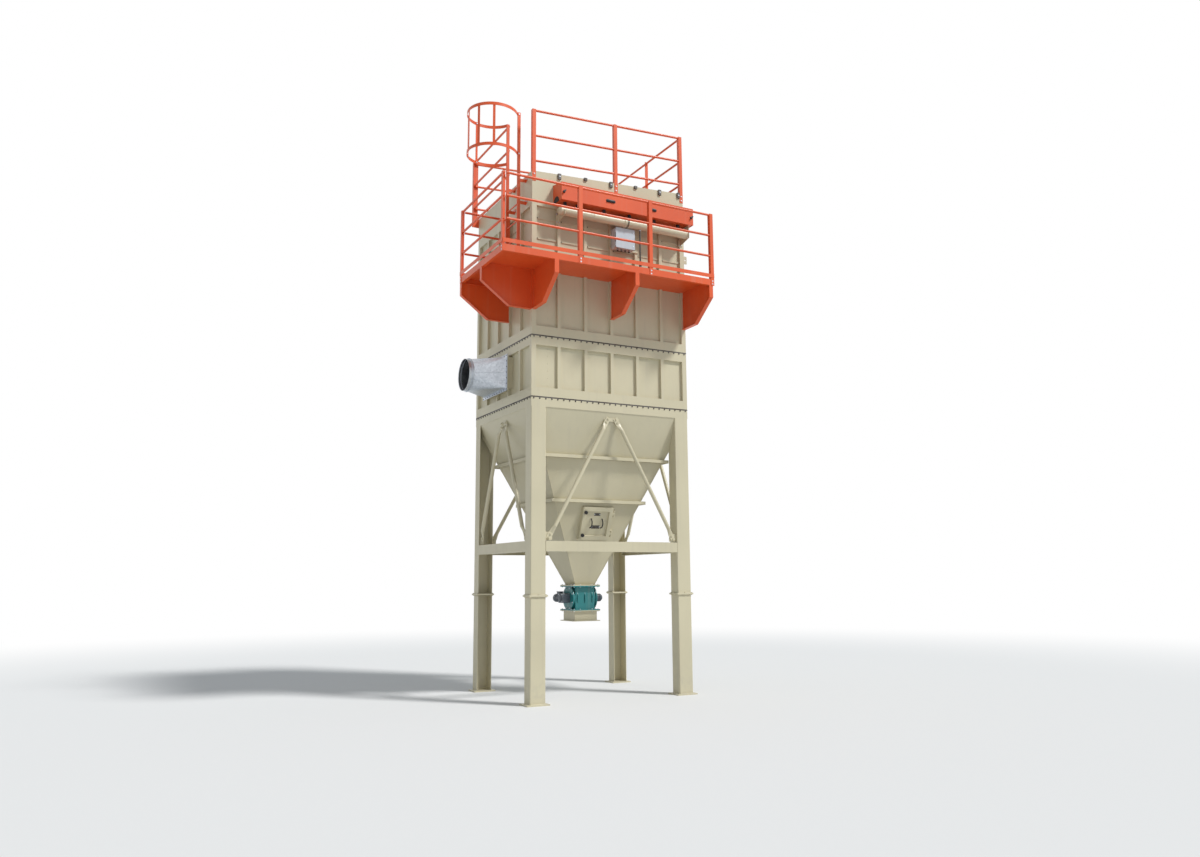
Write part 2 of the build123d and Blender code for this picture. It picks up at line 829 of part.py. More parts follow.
# Clean air outlet: round spigot with a rim and a mounting ring, on the rear
outlet_plane = Plane(origin=(0, half_depth, air_outlet_level), x_dir=(-1, 0, 0), z_dir=(0, 1, 0))
with BuildPart() as air_outlet:
    with BuildSketch(outlet_plane.offset(-panel_inset - skin)):
        Circle(air_outlet_radius)
        Circle(air_outlet_radius - air_outlet_sheet, mode=Mode.SUBTRACT)
    extrude(amount=panel_inset + skin + air_outlet_length)
    for rim_offset in (0, air_outlet_length - air_outlet_rim_sheet):
        with BuildSketch(outlet_plane.offset(rim_offset)):
            Circle(air_outlet_radius + air_outlet_rim)
            Circle(air_outlet_radius - air_outlet_sheet, mode=Mode.SUBTRACT)
        extrude(amount=air_outlet_rim_sheet)
    with BuildSketch(outlet_plane.offset(air_outlet_length)):
        with PolarLocations(air_outlet_bolt_circle / 2, air_outlet_bolt_count):
            Circle(air_outlet_bolt_radius)
    extrude(amount=-air_outlet_rim_sheet, mode=Mode.SUBTRACT)
save(air_outlet.part, "air_outlet")

# Inlet port: short duct through the wall with a flange
with BuildPart() as inlet_port:
    with BuildSketch(inlet_plane.offset(-panel_inset - skin)):
        Rectangle(port_width, port_height)
        Rectangle(inlet_width, inlet_height, mode=Mode.SUBTRACT)
    extrude(amount=panel_inset + skin + port_reach)
    with BuildSketch(inlet_plane.offset(port_reach - inlet_flange_sheet)):
        Rectangle(inlet_width + 2 * inlet_flange_width, inlet_height + 2 * inlet_flange_width)
        Rectangle(inlet_width, inlet_height, mode=Mode.SUBTRACT)
    extrude(amount=inlet_flange_sheet)
save(inlet_port.part, "inlet_port")


# Square-to-round form: a flat triangle on each side and a fan of folds at each corner
def transition_form(base, width, height, radius, length):
    def at(x, y, z):
        return base.from_local_coords((x, y, z))

    across = width / 2
    up = height / 2
    corners = [(across, up), (-across, up), (-across, -up), (across, -up)]
    round_end = []
    faces = []
    for quarter in range(4):
        corner = corners[quarter]
        next_corner = corners[(quarter + 1) % 4]
        fan = []
        for step in range(corner_folds + 1):
            angle = math.radians(90 * quarter + 90 * step / corner_folds)
            fan.append((radius * math.cos(angle), radius * math.sin(angle)))
        for near, far in zip(fan, fan[1:]):
            faces.append(Face(Wire.make_polygon([at(*corner, 0), at(*near, length), at(*far, length)])))
        side = [at(*corner, 0), at(*fan[-1], length), at(*next_corner, 0)]
        faces.append(Face(Wire.make_polygon(side)))
        round_end += fan[:-1]
    faces.append(Face(Wire.make_polygon([at(*point, 0) for point in corners])))
    faces.append(Face(Wire.make_polygon([at(*point, length) for point in round_end])))
    return Solid(Shell(faces))


# Inlet transition: galvanised square-to-round with a flange and a collar
transition_plane = inlet_plane.offset(port_reach)
collar_radius = inlet_radius * math.cos(math.pi / 4 / corner_folds)
with BuildPart() as inlet_transition:
    add(transition_form(transition_plane, inlet_width, inlet_height, inlet_radius, inlet_length))
    add(
        transition_form(
            transition_plane,
            inlet_width - 2 * inlet_sheet,
            inlet_height - 2 * inlet_sheet,
            inlet_radius - inlet_sheet,
            inlet_length,
        ),
        mode=Mode.SUBTRACT,
    )
    with BuildSketch(transition_plane):
        Rectangle(inlet_width + 2 * inlet_flange_width, inlet_height + 2 * inlet_flange_width)
        Rectangle(inlet_width - 2 * inlet_sheet, inlet_height - 2 * inlet_sheet, mode=Mode.SUBTRACT)
    extrude(amount=inlet_flange_sheet)
    with BuildSketch(transition_plane.offset(inlet_length)):
        Circle(inlet_radius)
        Circle(collar_radius - inlet_sheet, mode=Mode.SUBTRACT)
    extrude(amount=collar_length)
    with BuildSketch(transition_plane.offset(inlet_length)):
        Circle(inlet_radius + collar_rim)
        Circle(collar_radius - inlet_sheet, mode=Mode.SUBTRACT)
    extrude(amount=collar_rim)
save(inlet_transition.part, "inlet_transition")

# Valve cover: folded hood on the front, open below
cover_right = half_width - cover_right_gap
cover_front = -half_depth - cover_reach
cover_top = cover_bottom + cover_front_height
cover_plane = Plane(origin=(-cover_left, 0, 0), x_dir=(0, 1, 0), z_dir=(1, 0, 0))
with BuildPart() as valve_cover:
    with BuildSketch(cover_plane):
        Polygon(
            (-half_depth, cover_bottom),
            (cover_front, cover_bottom),
            (cover_front, cover_top),
            (-half_depth, cover_top + cover_top_rise),
            align=None,
        )
    extrude(amount=cover_left + cover_right)
    with BuildSketch(cover_plane.offset(cover_sheet)):
        Polygon(
            (-half_depth, cover_bottom),
            (cover_front + cover_sheet, cover_bottom),
            (cover_front + cover_sheet, cover_top - cover_sheet),
            (-half_depth, cover_top + cover_top_rise - cover_sheet),
            align=None,
        )
    extrude(amount=cover_left + cover_right - 2 * cover_sheet, mode=Mode.SUBTRACT)
save(valve_cover.part, "valve_cover")

# Header tank: pulse air tube along the front with domed ends and a coupling
tank_left = -cover_left
tank_right = half_width - 2 * corner_width / 3
tank_axis_y = -half_depth - tank_reach
tank_plane = Plane(origin=(tank_left, tank_axis_y, tank_level), x_dir=(1, 0, 0), z_dir=(0, -1, 0))
with BuildPart() as header_tank:
    with BuildSketch(tank_plane):
        with BuildLine():
            Polyline(
                (0, 0),
                (0, tank_end_radius),
                (tank_end_depth, tank_radius),
                (tank_right - tank_left - tank_end_depth, tank_radius),
                (tank_right - tank_left, tank_end_radius),
                (tank_right - tank_left, 0),
                close=True,
            )
        make_face()
    revolve(axis=Axis(tank_plane.origin, (1, 0, 0)))
    for ring_shift in (-coupling_length / 2, coupling_length / 4):
        ring_plane = Plane(
            origin=(tank_coupling_x + ring_shift, tank_axis_y, tank_level),
            x_dir=(0, 1, 0),
            z_dir=(1, 0, 0),
        )
        with BuildSketch(ring_plane):
            Circle(tank_radius + coupling_rim)
        extrude(amount=coupling_length / 4)
save(header_tank.part, "header_tank")

# Header brackets: plates on the outer ribs with a saddle for the tank
left_bracket_x = front_pitch - half_width - rib_width / 2
right_bracket_x = half_width - corner_width + bracket_sheet
with BuildPart() as header_brackets:
    for bracket_x, rise in ((left_bracket_x, 0), (right_bracket_x, tank_radius + bracket_rise)):
        saddle_plane = Plane(origin=(bracket_x, 0, 0), x_dir=(0, 1, 0), z_dir=(1, 0, 0))
        with BuildSketch(saddle_plane):
            with BuildLine():
                Polyline(
                    (-half_depth, tank_level + rise),
                    (tank_axis_y - tank_radius, tank_level + rise),
                    (tank_axis_y - tank_radius - bracket_edge, tank_level),
                    (tank_axis_y - tank_radius - bracket_edge, tank_level - tank_radius),
                    (-half_depth, tank_level - 2 * tank_radius),
                    close=True,
                )
            make_face()
            with Locations((tank_axis_y, tank_level)):
                Circle(tank_radius, mode=Mode.SUBTRACT)
        extrude(amount=bracket_sheet)
save(header_brackets.part, "header_brackets")

# Pulse valves: a stub up from the tank, a round body and a blow pipe into the wall
with BuildPart() as pulse_valves:
    for valve_index in range(valve_count):
        pulse_x = -half_width + (valve_index + 0.5) * front_pitch
        if valve_index == 0:
            pulse_x = tank_left + front_pitch / 4
        with BuildSketch(level(tank_level).shift_origin((pulse_x, tank_axis_y, tank_level))):
            Circle(valve_stub_radius)
        extrude(amount=valve_body_level - tank_level)
        with BuildSketch(level(valve_body_level).shift_origin((pulse_x, tank_axis_y, valve_body_level))):
            Circle(valve_body_radius)
        extrude(amount=valve_body_height, taper=8)
        blow_plane = Plane(
            origin=(pulse_x, tank_axis_y, valve_body_level + valve_body_height / 2),
            x_dir=(1, 0, 0),
            z_dir=(0, 1, 0),
        )
        with BuildSketch(blow_plane):
            Circle(valve_stub_radius)
        extrude(amount=tank_reach)
    add(header_tank.part, mode=Mode.SUBTRACT)
save(pulse_valves.part, "pulse_valves")

# Drain pipe from the tank down to the platform
with BuildPart() as tank_drain:
    with BuildSketch(level(drain_bottom).shift_origin((drain_x, tank_axis_y, drain_bottom))):
        Circle(drain_radius)
    extrude(amount=tank_level - drain_bottom)
    with BuildSketch(level(drain_valve_level).shift_origin((drain_x, tank_axis_y, drain_valve_level))):
        RegularPolygon(drain_valve_radius, 6)
    extrude(amount=drain_valve_height)
    add(header_tank.part, mode=Mode.SUBTRACT)
save(tank_drain.part, "tank_drain")

# Control box on two rails across the ribs
box_back = -half_depth - box_rail / 2
with BuildPart() as control_box:
    box_plane = Plane(
        origin=(box_x, box_back, box_bottom + box_height / 2),
        x_dir=(1, 0, 0),
        z_dir=(0, -1, 0),
    )
    with BuildSketch(box_plane):
        RectangleRounded(box_width, box_height, 8)
    extrude(amount=box_depth - 2 * box_lid)
    with BuildSketch(box_plane.offset(box_depth - 2 * box_lid)):
        RectangleRounded(box_width - box_lid, box_height - box_lid, 8)
    extrude(amount=box_lid)
    with BuildSketch(box_plane.offset(box_depth - box_lid)):
        RectangleRounded(box_width, box_height, 8)
    extrude(amount=box_lid)
    rail_plane = Plane(
        origin=(front_pitch / 2, -half_depth, box_bottom + box_height / 2),
        x_dir=(1, 0, 0),
        z_dir=(0, -1, 0),
    )
    with BuildSketch(rail_plane):
        with GridLocations(0, box_height - 2 * box_rail, 1, 2):
            Rectangle(front_pitch + rib_width, box_rail)
    extrude(amount=box_rail / 2)
    with BuildSketch(level(box_bottom).shift_origin((box_x, box_back - box_depth / 2, box_bottom))):
        with GridLocations(box_width / 5, 0, 4, 1):
            Circle(gland_radius)
    extrude(amount=-gland_length)
save(control_box.part, "control_box")

# Platform: floor plate with channel edges and toe boards
platform_left_x = -half_width - landing_reach
platform_right_x = half_width + platform_right
platform_front_y = -half_depth - platform_reach
landing_end_y = -half_depth + landing_length
channel_bottom = platform_level - edge_channel_height


def add_floor(x_low, x_high, y_low, y_high):
    with BuildSketch(level(platform_level - floor_sheet)) as section:
        with Locations(((x_low + x_high) / 2, (y_low + y_high) / 2)):
            Rectangle(x_high - x_low, y_high - y_low)
    extrude(section.sketch, amount=floor_sheet)


def add_edge(start, end, inward):
    """Channel along one edge of the floor, opening inwards; the edge runs from start to end."""
    start, end, inward = Vector(*start), Vector(*end), Vector(*inward)
    run = Plane(origin=(start.X, start.Y, channel_bottom), x_dir=(inward.X, inward.Y, 0), z_dir=end - start)
    rise = run.y_dir.Z
    with BuildSketch(run) as section:
        with BuildLine():
            Polyline(
                (0, 0),
                (edge_channel_flange, 0),
                (edge_channel_flange, rise * edge_sheet),
                (edge_sheet, rise * edge_sheet),
                (edge_sheet, rise * (edge_channel_height - edge_sheet)),
                (edge_channel_flange, rise * (edge_channel_height - edge_sheet)),
                (edge_channel_flange, rise * edge_channel_height),
                (0, rise * edge_channel_height),
                close=True,
            )
        make_face()
    extrude(section.sketch, amount=(end - start).length)


def add_toe_board(start, end, outward):
    """Upright board on the outside of the posts along one edge, a little above the floor."""
    start, end, outward = Vector(*start), Vector(*end), Vector(*outward)
    corner = start + outward * post_sheet
    run = Plane(
        origin=(corner.X, corner.Y, platform_level),
        x_dir=(outward.X, outward.Y, 0),
        z_dir=end - start,
    )
    rise = run.y_dir.Z
    with BuildSketch(run) as section:
        with Locations((toe_sheet / 2, rise * (toe_gap + toe_height / 2))):
            Rectangle(toe_sheet, toe_height)
    extrude(section.sketch, amount=(end - start).length)


with BuildPart() as platform_front:
    add_floor(platform_left_x, platform_right_x, platform_front_y, -half_depth)
    add_edge((platform_left_x, platform_front_y), (platform_right_x, platform_front_y), (0, 1))
    add_edge((platform_right_x, platform_front_y), (platform_right_x, -half_depth), (-1, 0))
    add_edge((platform_left_x, platform_front_y), (platform_left_x, -half_depth), (1, 0))
save(platform_front.part, "platform_front")

with BuildPart() as platform_left:
    add_floor(platform_left_x, -half_width, -half_depth, landing_end_y)
    add_edge((platform_left_x, -half_depth), (platform_left_x, landing_end_y), (1, 0))
    add_edge((platform_left_x, landing_end_y), (-half_width, landing_end_y), (0, -1))
save(platform_left.part, "platform_left")

with BuildPart() as toe_boards:
    add_toe_board((platform_left_x, platform_front_y), (platform_right_x, platform_front_y), (0, -1))
    add_toe_board((platform_left_x, platform_front_y), (platform_left_x, landing_end_y), (-1, 0))
    add_toe_board((platform_left_x, landing_end_y), (-half_width, landing_end_y), (0, 1))
save(toe_boards.part, "toe_boards")


# Platform brackets: plates with a folded lip round their outer edges
def add_bracket(root, outward):
    root, outward = Vector(*root), Vector(*outward)
    reach = landing_reach if abs(outward.X) > 0.5 else platform_reach
    face = Plane(
        origin=(root.X, root.Y, channel_bottom),
        x_dir=(outward.X, outward.Y, 0),
        z_dir=(outward.Y, -outward.X, 0),
    )
    outline = [
        (0, 0),
        (reach, 0),
        (reach, -bracket_tip),
        (bracket_knee_reach, -bracket_knee_drop),
        (0, -bracket_root_drop),
    ]
    with BuildSketch(face) as section:
        Polygon(*outline, align=None)
    extrude(section.sketch, amount=bracket_plate / 2, both=True)
    with BuildSketch(face) as section:
        with BuildLine() as lip:
            Polyline(*outline[1:])
        trace(lip.line, line_width=2 * bracket_plate)
        Polygon(*outline, align=None, mode=Mode.INTERSECT)
    extrude(section.sketch, amount=bracket_lip / 2, both=True)


with BuildPart() as platform_brackets:
    add_bracket((-half_width + bracket_lip / 2, -half_depth), (0, -1))
    add_bracket((0, -half_depth), (0, -1))
    add_bracket((half_width - bracket_lip / 2, -half_depth), (0, -1))
    add_bracket((-half_width, -half_depth + bracket_lip / 2), (-1, 0))
    add_bracket((-half_width, landing_end_y - rib_width / 2), (-1, 0))
save(platform_brackets.part, "platform_brackets")


# Railings: angle posts with a flange outwards, and round rails inside the flange
def add_post(place, outward, bottom, floor, top, hand=-1):
    x, y = place
    face = Plane(origin=(x, y, 0), x_dir=(-outward[1], outward[0], 0), z_dir=(0, 0, 1))
    with BuildSketch(face.offset(bottom)) as section:
        with Locations((0, -post_sheet / 2)):
            Rectangle(post_size, post_sheet)
    extrude(section.sketch, amount=top - bottom)
    with BuildSketch(face.offset(floor)) as section:
        with Locations((hand * (post_size - post_sheet) / 2, post_size / 2 - post_sheet)):
            Rectangle(post_sheet, post_size)
    extrude(section.sketch, amount=top - floor)


def add_rail(start, end):
    start, end = Vector(*start), Vector(*end)
    with BuildSketch(Plane(origin=start, z_dir=end - start)) as section:
        Circle(rail_radius)
    extrude(section.sketch, amount=(end - start).length)


platform_rails = [platform_level + rail_height - rail_radius - step * rail_spacing for step in range(3)]
post_top = platform_level + rail_height
post_bottom = channel_bottom - post_sheet
with BuildPart() as railing_front:
    for post_x in front_post_places + (platform_right_x - post_size / 2,):
        add_post((post_x, platform_front_y), (0, -1), post_bottom, platform_level, post_top)
    for rail_level in platform_rails:
        add_rail(
            (platform_left_x + post_size, platform_front_y + rail_inset, rail_level),
            (platform_right_x, platform_front_y + rail_inset, rail_level),
        )
save(railing_front.part, "railing_front")

with BuildPart() as railing_left:
    for post_y in (platform_front_y + post_size / 2, landing_end_y - post_size / 2):
        add_post((platform_left_x, post_y), (-1, 0), post_bottom, platform_level, post_top)
    for rail_level in platform_rails:
        add_rail(
            (platform_left_x + rail_inset, platform_front_y, rail_level),
            (platform_left_x + rail_inset, landing_end_y, rail_level),
        )
save(railing_left.part, "railing_left")

with BuildPart() as railing_rear_end:
    for rail_level in platform_rails:
        add_rail(
            (platform_left_x + post_size, landing_end_y - rail_inset, rail_level),
            (-half_width, landing_end_y - rail_inset, rail_level),
        )
    add_post((-half_width - post_size / 2, landing_end_y), (0, 1), post_bottom, platform_level, post_top)
save(railing_rear_end.part, "railing_rear_end")


# Roof railings: posts bolted on the plenum's band, rails parallel to the roof's edge
def roof_top(x):
    return roof_line(x) + roof_thickness + roof_rail_height - rail_radius


def add_roof_rails(start, end):
    for step in range(3):
        drop = step * roof_rail_spacing
        add_rail(
            (start[0], start[1], roof_top(start[0]) - drop),
            (end[0], end[1], roof_top(end[0]) - drop),
        )


def add_roof_post(place, outward, hand=-1):
    seat = roof_line(place[0] - post_size) + roof_thickness
    add_post(place, outward, seat - roof_post_drop, seat, roof_top(place[0]) + rail_radius, hand)


with BuildPart() as roof_railing_front:
    for post_x in (-half_width + post_size / 2, roof_mid_post, half_width - post_size / 2):
        add_roof_post((post_x, -half_depth), (0, -1))
    add_roof_rails((-half_width, -half_depth + rail_inset), (half_width, -half_depth + rail_inset))
    add(roof.part, mode=Mode.SUBTRACT)
save(roof_railing_front.part, "roof_railing_front")

rail_end = rail_inset + rail_radius
with BuildPart() as roof_railing_right:
    add_roof_post((half_width, 0), (1, 0))
    add_roof_rails(
        (half_width - rail_inset, -half_depth + rail_end),
        (half_width - rail_inset, half_depth - rail_end),
    )
    add(roof.part, mode=Mode.SUBTRACT)
save(roof_railing_right.part, "roof_railing_right")

# Left roof railing: in line with the ladder, so its rear post stands on a plate that reaches past the wall
corner_post_x = -half_width - corner_post_reach
ladder_x = -half_width - ladder_standoff
rear_stile_face = ladder_y + ladder_half + stile_width / 2
corner_seat = roof_line(-half_width) + roof_thickness
with BuildPart() as roof_railing_left:
    with BuildSketch(level(corner_seat - roof_post_drop)):
        with Locations((corner_post_x, half_depth)):
            Rectangle(corner_post_width, post_sheet, align=(Align.MIN, Align.MIN))
            Rectangle(post_sheet, post_size, align=(Align.MIN, Align.MAX))
    extrude(amount=roof_post_drop + roof_rail_height)
    with BuildSketch(level(corner_seat - roof_post_drop)):
        with Locations((corner_post_x, half_depth)):
            Rectangle(corner_post_reach + post_size, post_sheet, align=(Align.MIN, Align.MIN))
    extrude(amount=roof_post_drop)
    left_rail_x = corner_post_x + post_sheet + rail_inset
    for step in range(3):
        left_rail_level = corner_seat + roof_rail_height - rail_radius - step * roof_rail_spacing
        add_rail(
            (left_rail_x, rear_stile_face, left_rail_level),
            (left_rail_x, half_depth, left_rail_level),
        )
save(roof_railing_left.part, "roof_railing_left")

with BuildPart() as roof_railing_rear:
    for post_x in (roof_mid_post, half_width - post_size / 2):
        add_roof_post((post_x, half_depth), (0, 1), hand=1)
    add_roof_rails(
        (corner_post_x + corner_post_width / 2, half_depth - rail_inset),
        (half_width, half_depth - rail_inset),
    )
    add(roof.part, mode=Mode.SUBTRACT)
    add(roof_railing_left.part, mode=Mode.SUBTRACT)
save(roof_railing_rear.part, "roof_railing_rear")

# Ladder: two flat stiles, round rungs and stand-offs to the wall
with BuildPart() as ladder:
    with BuildSketch(level(platform_level)):
        with Locations((ladder_x, ladder_y)):
            with GridLocations(0, 2 * ladder_half, 1, 2):
                Rectangle(stile_depth, stile_width)
    extrude(amount=ladder_top - platform_level)
    rung_count = int((roof_line(-half_width) - platform_level) / rung_pitch)
    for rung_index in range(rung_count):
        rung_level = platform_level + (rung_index + 1) * rung_pitch
        rung_plane = Plane(origin=(ladder_x, ladder_y, rung_level), x_dir=(1, 0, 0), z_dir=(0, 1, 0))
        with BuildSketch(rung_plane):
            Circle(rung_radius)
        extrude(amount=ladder_half, both=True)
    for standoff_level in standoff_levels:
        wall = Plane(origin=(-half_width, ladder_y, standoff_level), x_dir=(0, 1, 0), z_dir=(-1, 0, 0))
        with BuildSketch(wall):
            with GridLocations(2 * ladder_half, 0, 2, 1):
                Rectangle(standoff_sheet, standoff_height)
        extrude(amount=ladder_standoff)
save(ladder.part, "ladder")

# Ladder cage: flat hoops bowed out from the stiles
cage_offset = (hoop_depth**2 - ladder_half**2) / (2 * hoop_depth)
cage_radius = hoop_depth - cage_offset
cage_center = (ladder_x - stile_depth / 2 - cage_offset, ladder_y)
with BuildPart() as ladder_cage:
    for hoop_level in hoop_levels:
        with BuildSketch(level(hoop_level)):
            with Locations(cage_center):
                Circle(cage_radius)
                Circle(cage_radius - hoop_sheet, mode=Mode.SUBTRACT)
            with Locations((ladder_x - stile_depth / 2 + cage_radius, ladder_y)):
                Rectangle(2 * cage_radius, 4 * cage_radius, mode=Mode.SUBTRACT)
        extrude(amount=hoop_flat)
save(ladder_cage.part, "ladder_cage")

# Cage straps: flat uprights whose edges touch the hoops from inside
hoop_inside = cage_radius - hoop_sheet
strap_radius = math.sqrt(hoop_inside**2 - (strap_width / 2) ** 2) - strap_sheet / 2
with BuildPart() as cage_straps:
    with BuildSketch(level(hoop_levels[0])):
        for angle in strap_angles:
            turn = math.radians(180 + angle)
            strap_x = cage_center[0] + strap_radius * math.cos(turn)
            strap_y = cage_center[1] + strap_radius * math.sin(turn)
            with Locations(Location((strap_x, strap_y), 180 + angle)):
                Rectangle(strap_sheet, strap_width)
    extrude(amount=hoop_levels[1] + hoop_flat - hoop_levels[0])
save(cage_straps.part, "cage_straps")
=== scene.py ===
"""Looks of a pulse jet bag filter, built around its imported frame.

Every sub-assembly of the filter is a class below. It keeps its sizes as fields, gives its solids their
finish and adds the bolts, rivets, welds, grips and seals that belong to it. Lengths are in metres.
"""

import json
import logging
import math
from dataclasses import dataclass, field, replace
from enum import Enum, IntEnum
from typing import Any, Iterable, Sequence

import bmesh
import bpy
from mathutils import Matrix, Vector
from mathutils.geometry import tessellate_polygon


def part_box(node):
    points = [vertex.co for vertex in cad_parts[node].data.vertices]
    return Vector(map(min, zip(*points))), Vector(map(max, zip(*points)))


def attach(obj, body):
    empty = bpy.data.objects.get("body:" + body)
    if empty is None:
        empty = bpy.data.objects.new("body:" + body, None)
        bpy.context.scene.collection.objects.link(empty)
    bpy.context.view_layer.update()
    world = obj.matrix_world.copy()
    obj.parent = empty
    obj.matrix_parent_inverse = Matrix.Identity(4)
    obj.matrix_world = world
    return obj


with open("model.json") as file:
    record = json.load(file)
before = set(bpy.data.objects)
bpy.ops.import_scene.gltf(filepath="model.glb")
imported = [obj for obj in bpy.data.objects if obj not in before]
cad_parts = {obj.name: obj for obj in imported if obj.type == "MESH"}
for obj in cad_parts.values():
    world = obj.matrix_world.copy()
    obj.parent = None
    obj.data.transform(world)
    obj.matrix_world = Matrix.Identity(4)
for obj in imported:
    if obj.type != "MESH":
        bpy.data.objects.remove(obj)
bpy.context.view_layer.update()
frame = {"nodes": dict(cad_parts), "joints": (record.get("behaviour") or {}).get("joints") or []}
log = logging.getLogger("bag_filter")

Mesh = bpy.types.Mesh
Material = bpy.types.Material
Colour = tuple[float, float, float]
Size = tuple[float, float, float]
Pair = tuple[float, float]
Profile = tuple[Pair, ...]
Spot = tuple[Vector, Vector]
Ring = list[Vector]


class Body(Enum):
    """The rigid bodies of the filter."""

    STRUCTURE = "structure"
    DOOR = "door"


class Slot(Enum):
    """The finishes that the record names."""

    CREAM = "cream_paint"
    ORANGE = "orange_paint"
    ZINC = "galvanised_sheet"
    TEAL = "teal_paint"
    MOTOR = "dark_motor_paint"
    CAST = "cast_valve"
    ENAMEL = "grey_enamel"
    STEEL = "dark_steel"
    RUBBER = "black_plastic"


class Facets(IntEnum):
    """Numbers of facets round turned forms."""

    HEXAGON = 6
    SPINDLE = 12
    PIN = 14
    STEM = 16
    GLAND = 18
    KNOB = 20
    SLEEVE = 28
    DRUM = 40
    DUCT = 64


class Wire:
    """A socket of a node tree that can be used in arithmetic."""

    def __init__(self, graph: "Graph", socket: bpy.types.NodeSocket) -> None:
        """Keep the socket and the graph that it is in."""
        self.graph = graph
        self.socket = socket

    def __add__(self, other: Any) -> "Wire":
        """Sum of two values."""
        return self.graph.math("ADD", self, other)

    def __sub__(self, other: Any) -> "Wire":
        """Difference of two values."""
        return self.graph.math("SUBTRACT", self, other)

    def __rsub__(self, other: Any) -> "Wire":
        """Difference with this value taken away."""
        return self.graph.math("SUBTRACT", other, self)

    def __mul__(self, other: Any) -> "Wire":
        """Product of two values."""
        return self.graph.math("MULTIPLY", self, other)

    def __truediv__(self, other: Any) -> "Wire":
        """Quotient of two values."""
        return self.graph.math("DIVIDE", self, other)

    __radd__ = __add__
    __rmul__ = __mul__

    def clamped(self) -> "Wire":
        """This value held between 0 and 1."""
        return self.graph.math("MAXIMUM", self.graph.math("MINIMUM", self, 1.0), 0.0)

    def ramp(self, low: float, high: float) -> "Wire":
        """A smooth step that is 0 below low and 1 above high."""
        values = {"Value": self, "From Min": low, "From Max": high}
        return self.graph.out("ShaderNodeMapRange", values, {"interpolation_type": "SMOOTHSTEP"}, "Result")


class Graph:
    """The nodes and links of one tree, shader or geometry."""

    def __init__(self, tree: bpy.types.NodeTree) -> None:
        """Keep the tree that nodes are added to."""
        self.tree = tree

    def node(self, kind: str, values: dict | None = None, settings: dict | None = None) -> bpy.types.Node:
        """Add a node.

        Args:
            kind: The node's type.
            values: A value or a Wire for each socket, by the socket's name or number.
            settings: Attributes of the node, which are set before the values.

        Returns:
            The new node.
        """
        made = self.tree.nodes.new(kind)
        for key, value in (settings or {}).items():
            setattr(made, key, value)
        for key, value in (values or {}).items():
            socket = made.inputs[key]
            if isinstance(value, Wire):
                self.tree.links.new(value.socket, socket)
            else:
                socket.default_value = value
        return made

    def out(
        self, kind: str, values: dict | None = None, settings: dict | None = None, output: int | str = 0
    ) -> Wire:
        """Add a node, as above, and return one of its outputs."""
        return Wire(self, self.node(kind, values, settings).outputs[output])

    def math(self, operation: str, first: Any, second: Any) -> Wire:
        """Add a Math node of two values and return its result."""
        return self.out("ShaderNodeMath", {0: first, 1: second}, {"operation": operation})


@dataclass(frozen=True)
class Wear:
    """Soft patches of noise, full above high, that move the colour by tint and the roughness by rough."""

    scale: float
    detail: float
    low: float
    high: float
    tint: float
    rough: float = 0.0
    stretch: Size = (1, 1, 1)


class Painter(Graph):
    """The shader tree of one material, read from Object coordinates."""

    def __init__(self, name: str) -> None:
        """Start an empty material.

        Args:
            name: The material's name.
        """
        self.material = bpy.data.materials.new(name)
        self.material.use_nodes = True
        super().__init__(self.material.node_tree)
        self.tree.nodes.clear()
        surface = self.node("ShaderNodeTexCoord").outputs
        self.place = Wire(self, surface["Object"])
        self.facing_up = self.out("ShaderNodeSeparateXYZ", {0: Wire(self, surface["Normal"])}, output="Z")
        self.height = self.out("ShaderNodeSeparateXYZ", {0: self.place}, output="Z")

    def noise(self, scale: float, detail: float = 2.0, stretch: Size = (1, 1, 1)) -> Wire:
        """Cloudy noise between 0 and 1, with features about 1 / scale metres across."""
        spot = self.out("ShaderNodeMapping", {"Vector": self.place, "Scale": stretch})
        return self.out("ShaderNodeTexNoise", {"Vector": spot, "Scale": scale, "Detail": detail})

    def patches(self, wear: Wear) -> Wire:
        """Where a kind of wear shows, between 0 and 1."""
        return self.noise(wear.scale, wear.detail, wear.stretch).ramp(wear.low, wear.high)

    def mix(self, share: Any, first: Any, second: Any) -> Wire:
        """A colour between two colours, given as triples or as wires."""
        first, second = (end if isinstance(end, Wire) else (*end, 1.0) for end in (first, second))
        return self.out("ShaderNodeMix", {0: share, 6: first, 7: second}, {"data_type": "RGBA"}, 2)

    def finish(self, base: Wire, rough: Wire, skin: Wire, fixed: dict[str, float]) -> Material:
        """Close the material with a surface shader.

        Args:
            base: The colour.
            rough: The roughness.
            skin: The height of the surface in metres, for its normal.
            fixed: Values that are the same all over the surface.

        Returns:
            The finished material.
        """
        normal = self.out("ShaderNodeBump", {"Height": skin, "Strength": 1.0, "Distance": 1.0})
        varying = {"Base Color": base, "Roughness": rough, "Normal": normal}
        shader = self.out("ShaderNodeBsdfPrincipled", {**fixed, **varying})
        self.node("ShaderNodeOutputMaterial", {"Surface": shader})
        return self.material


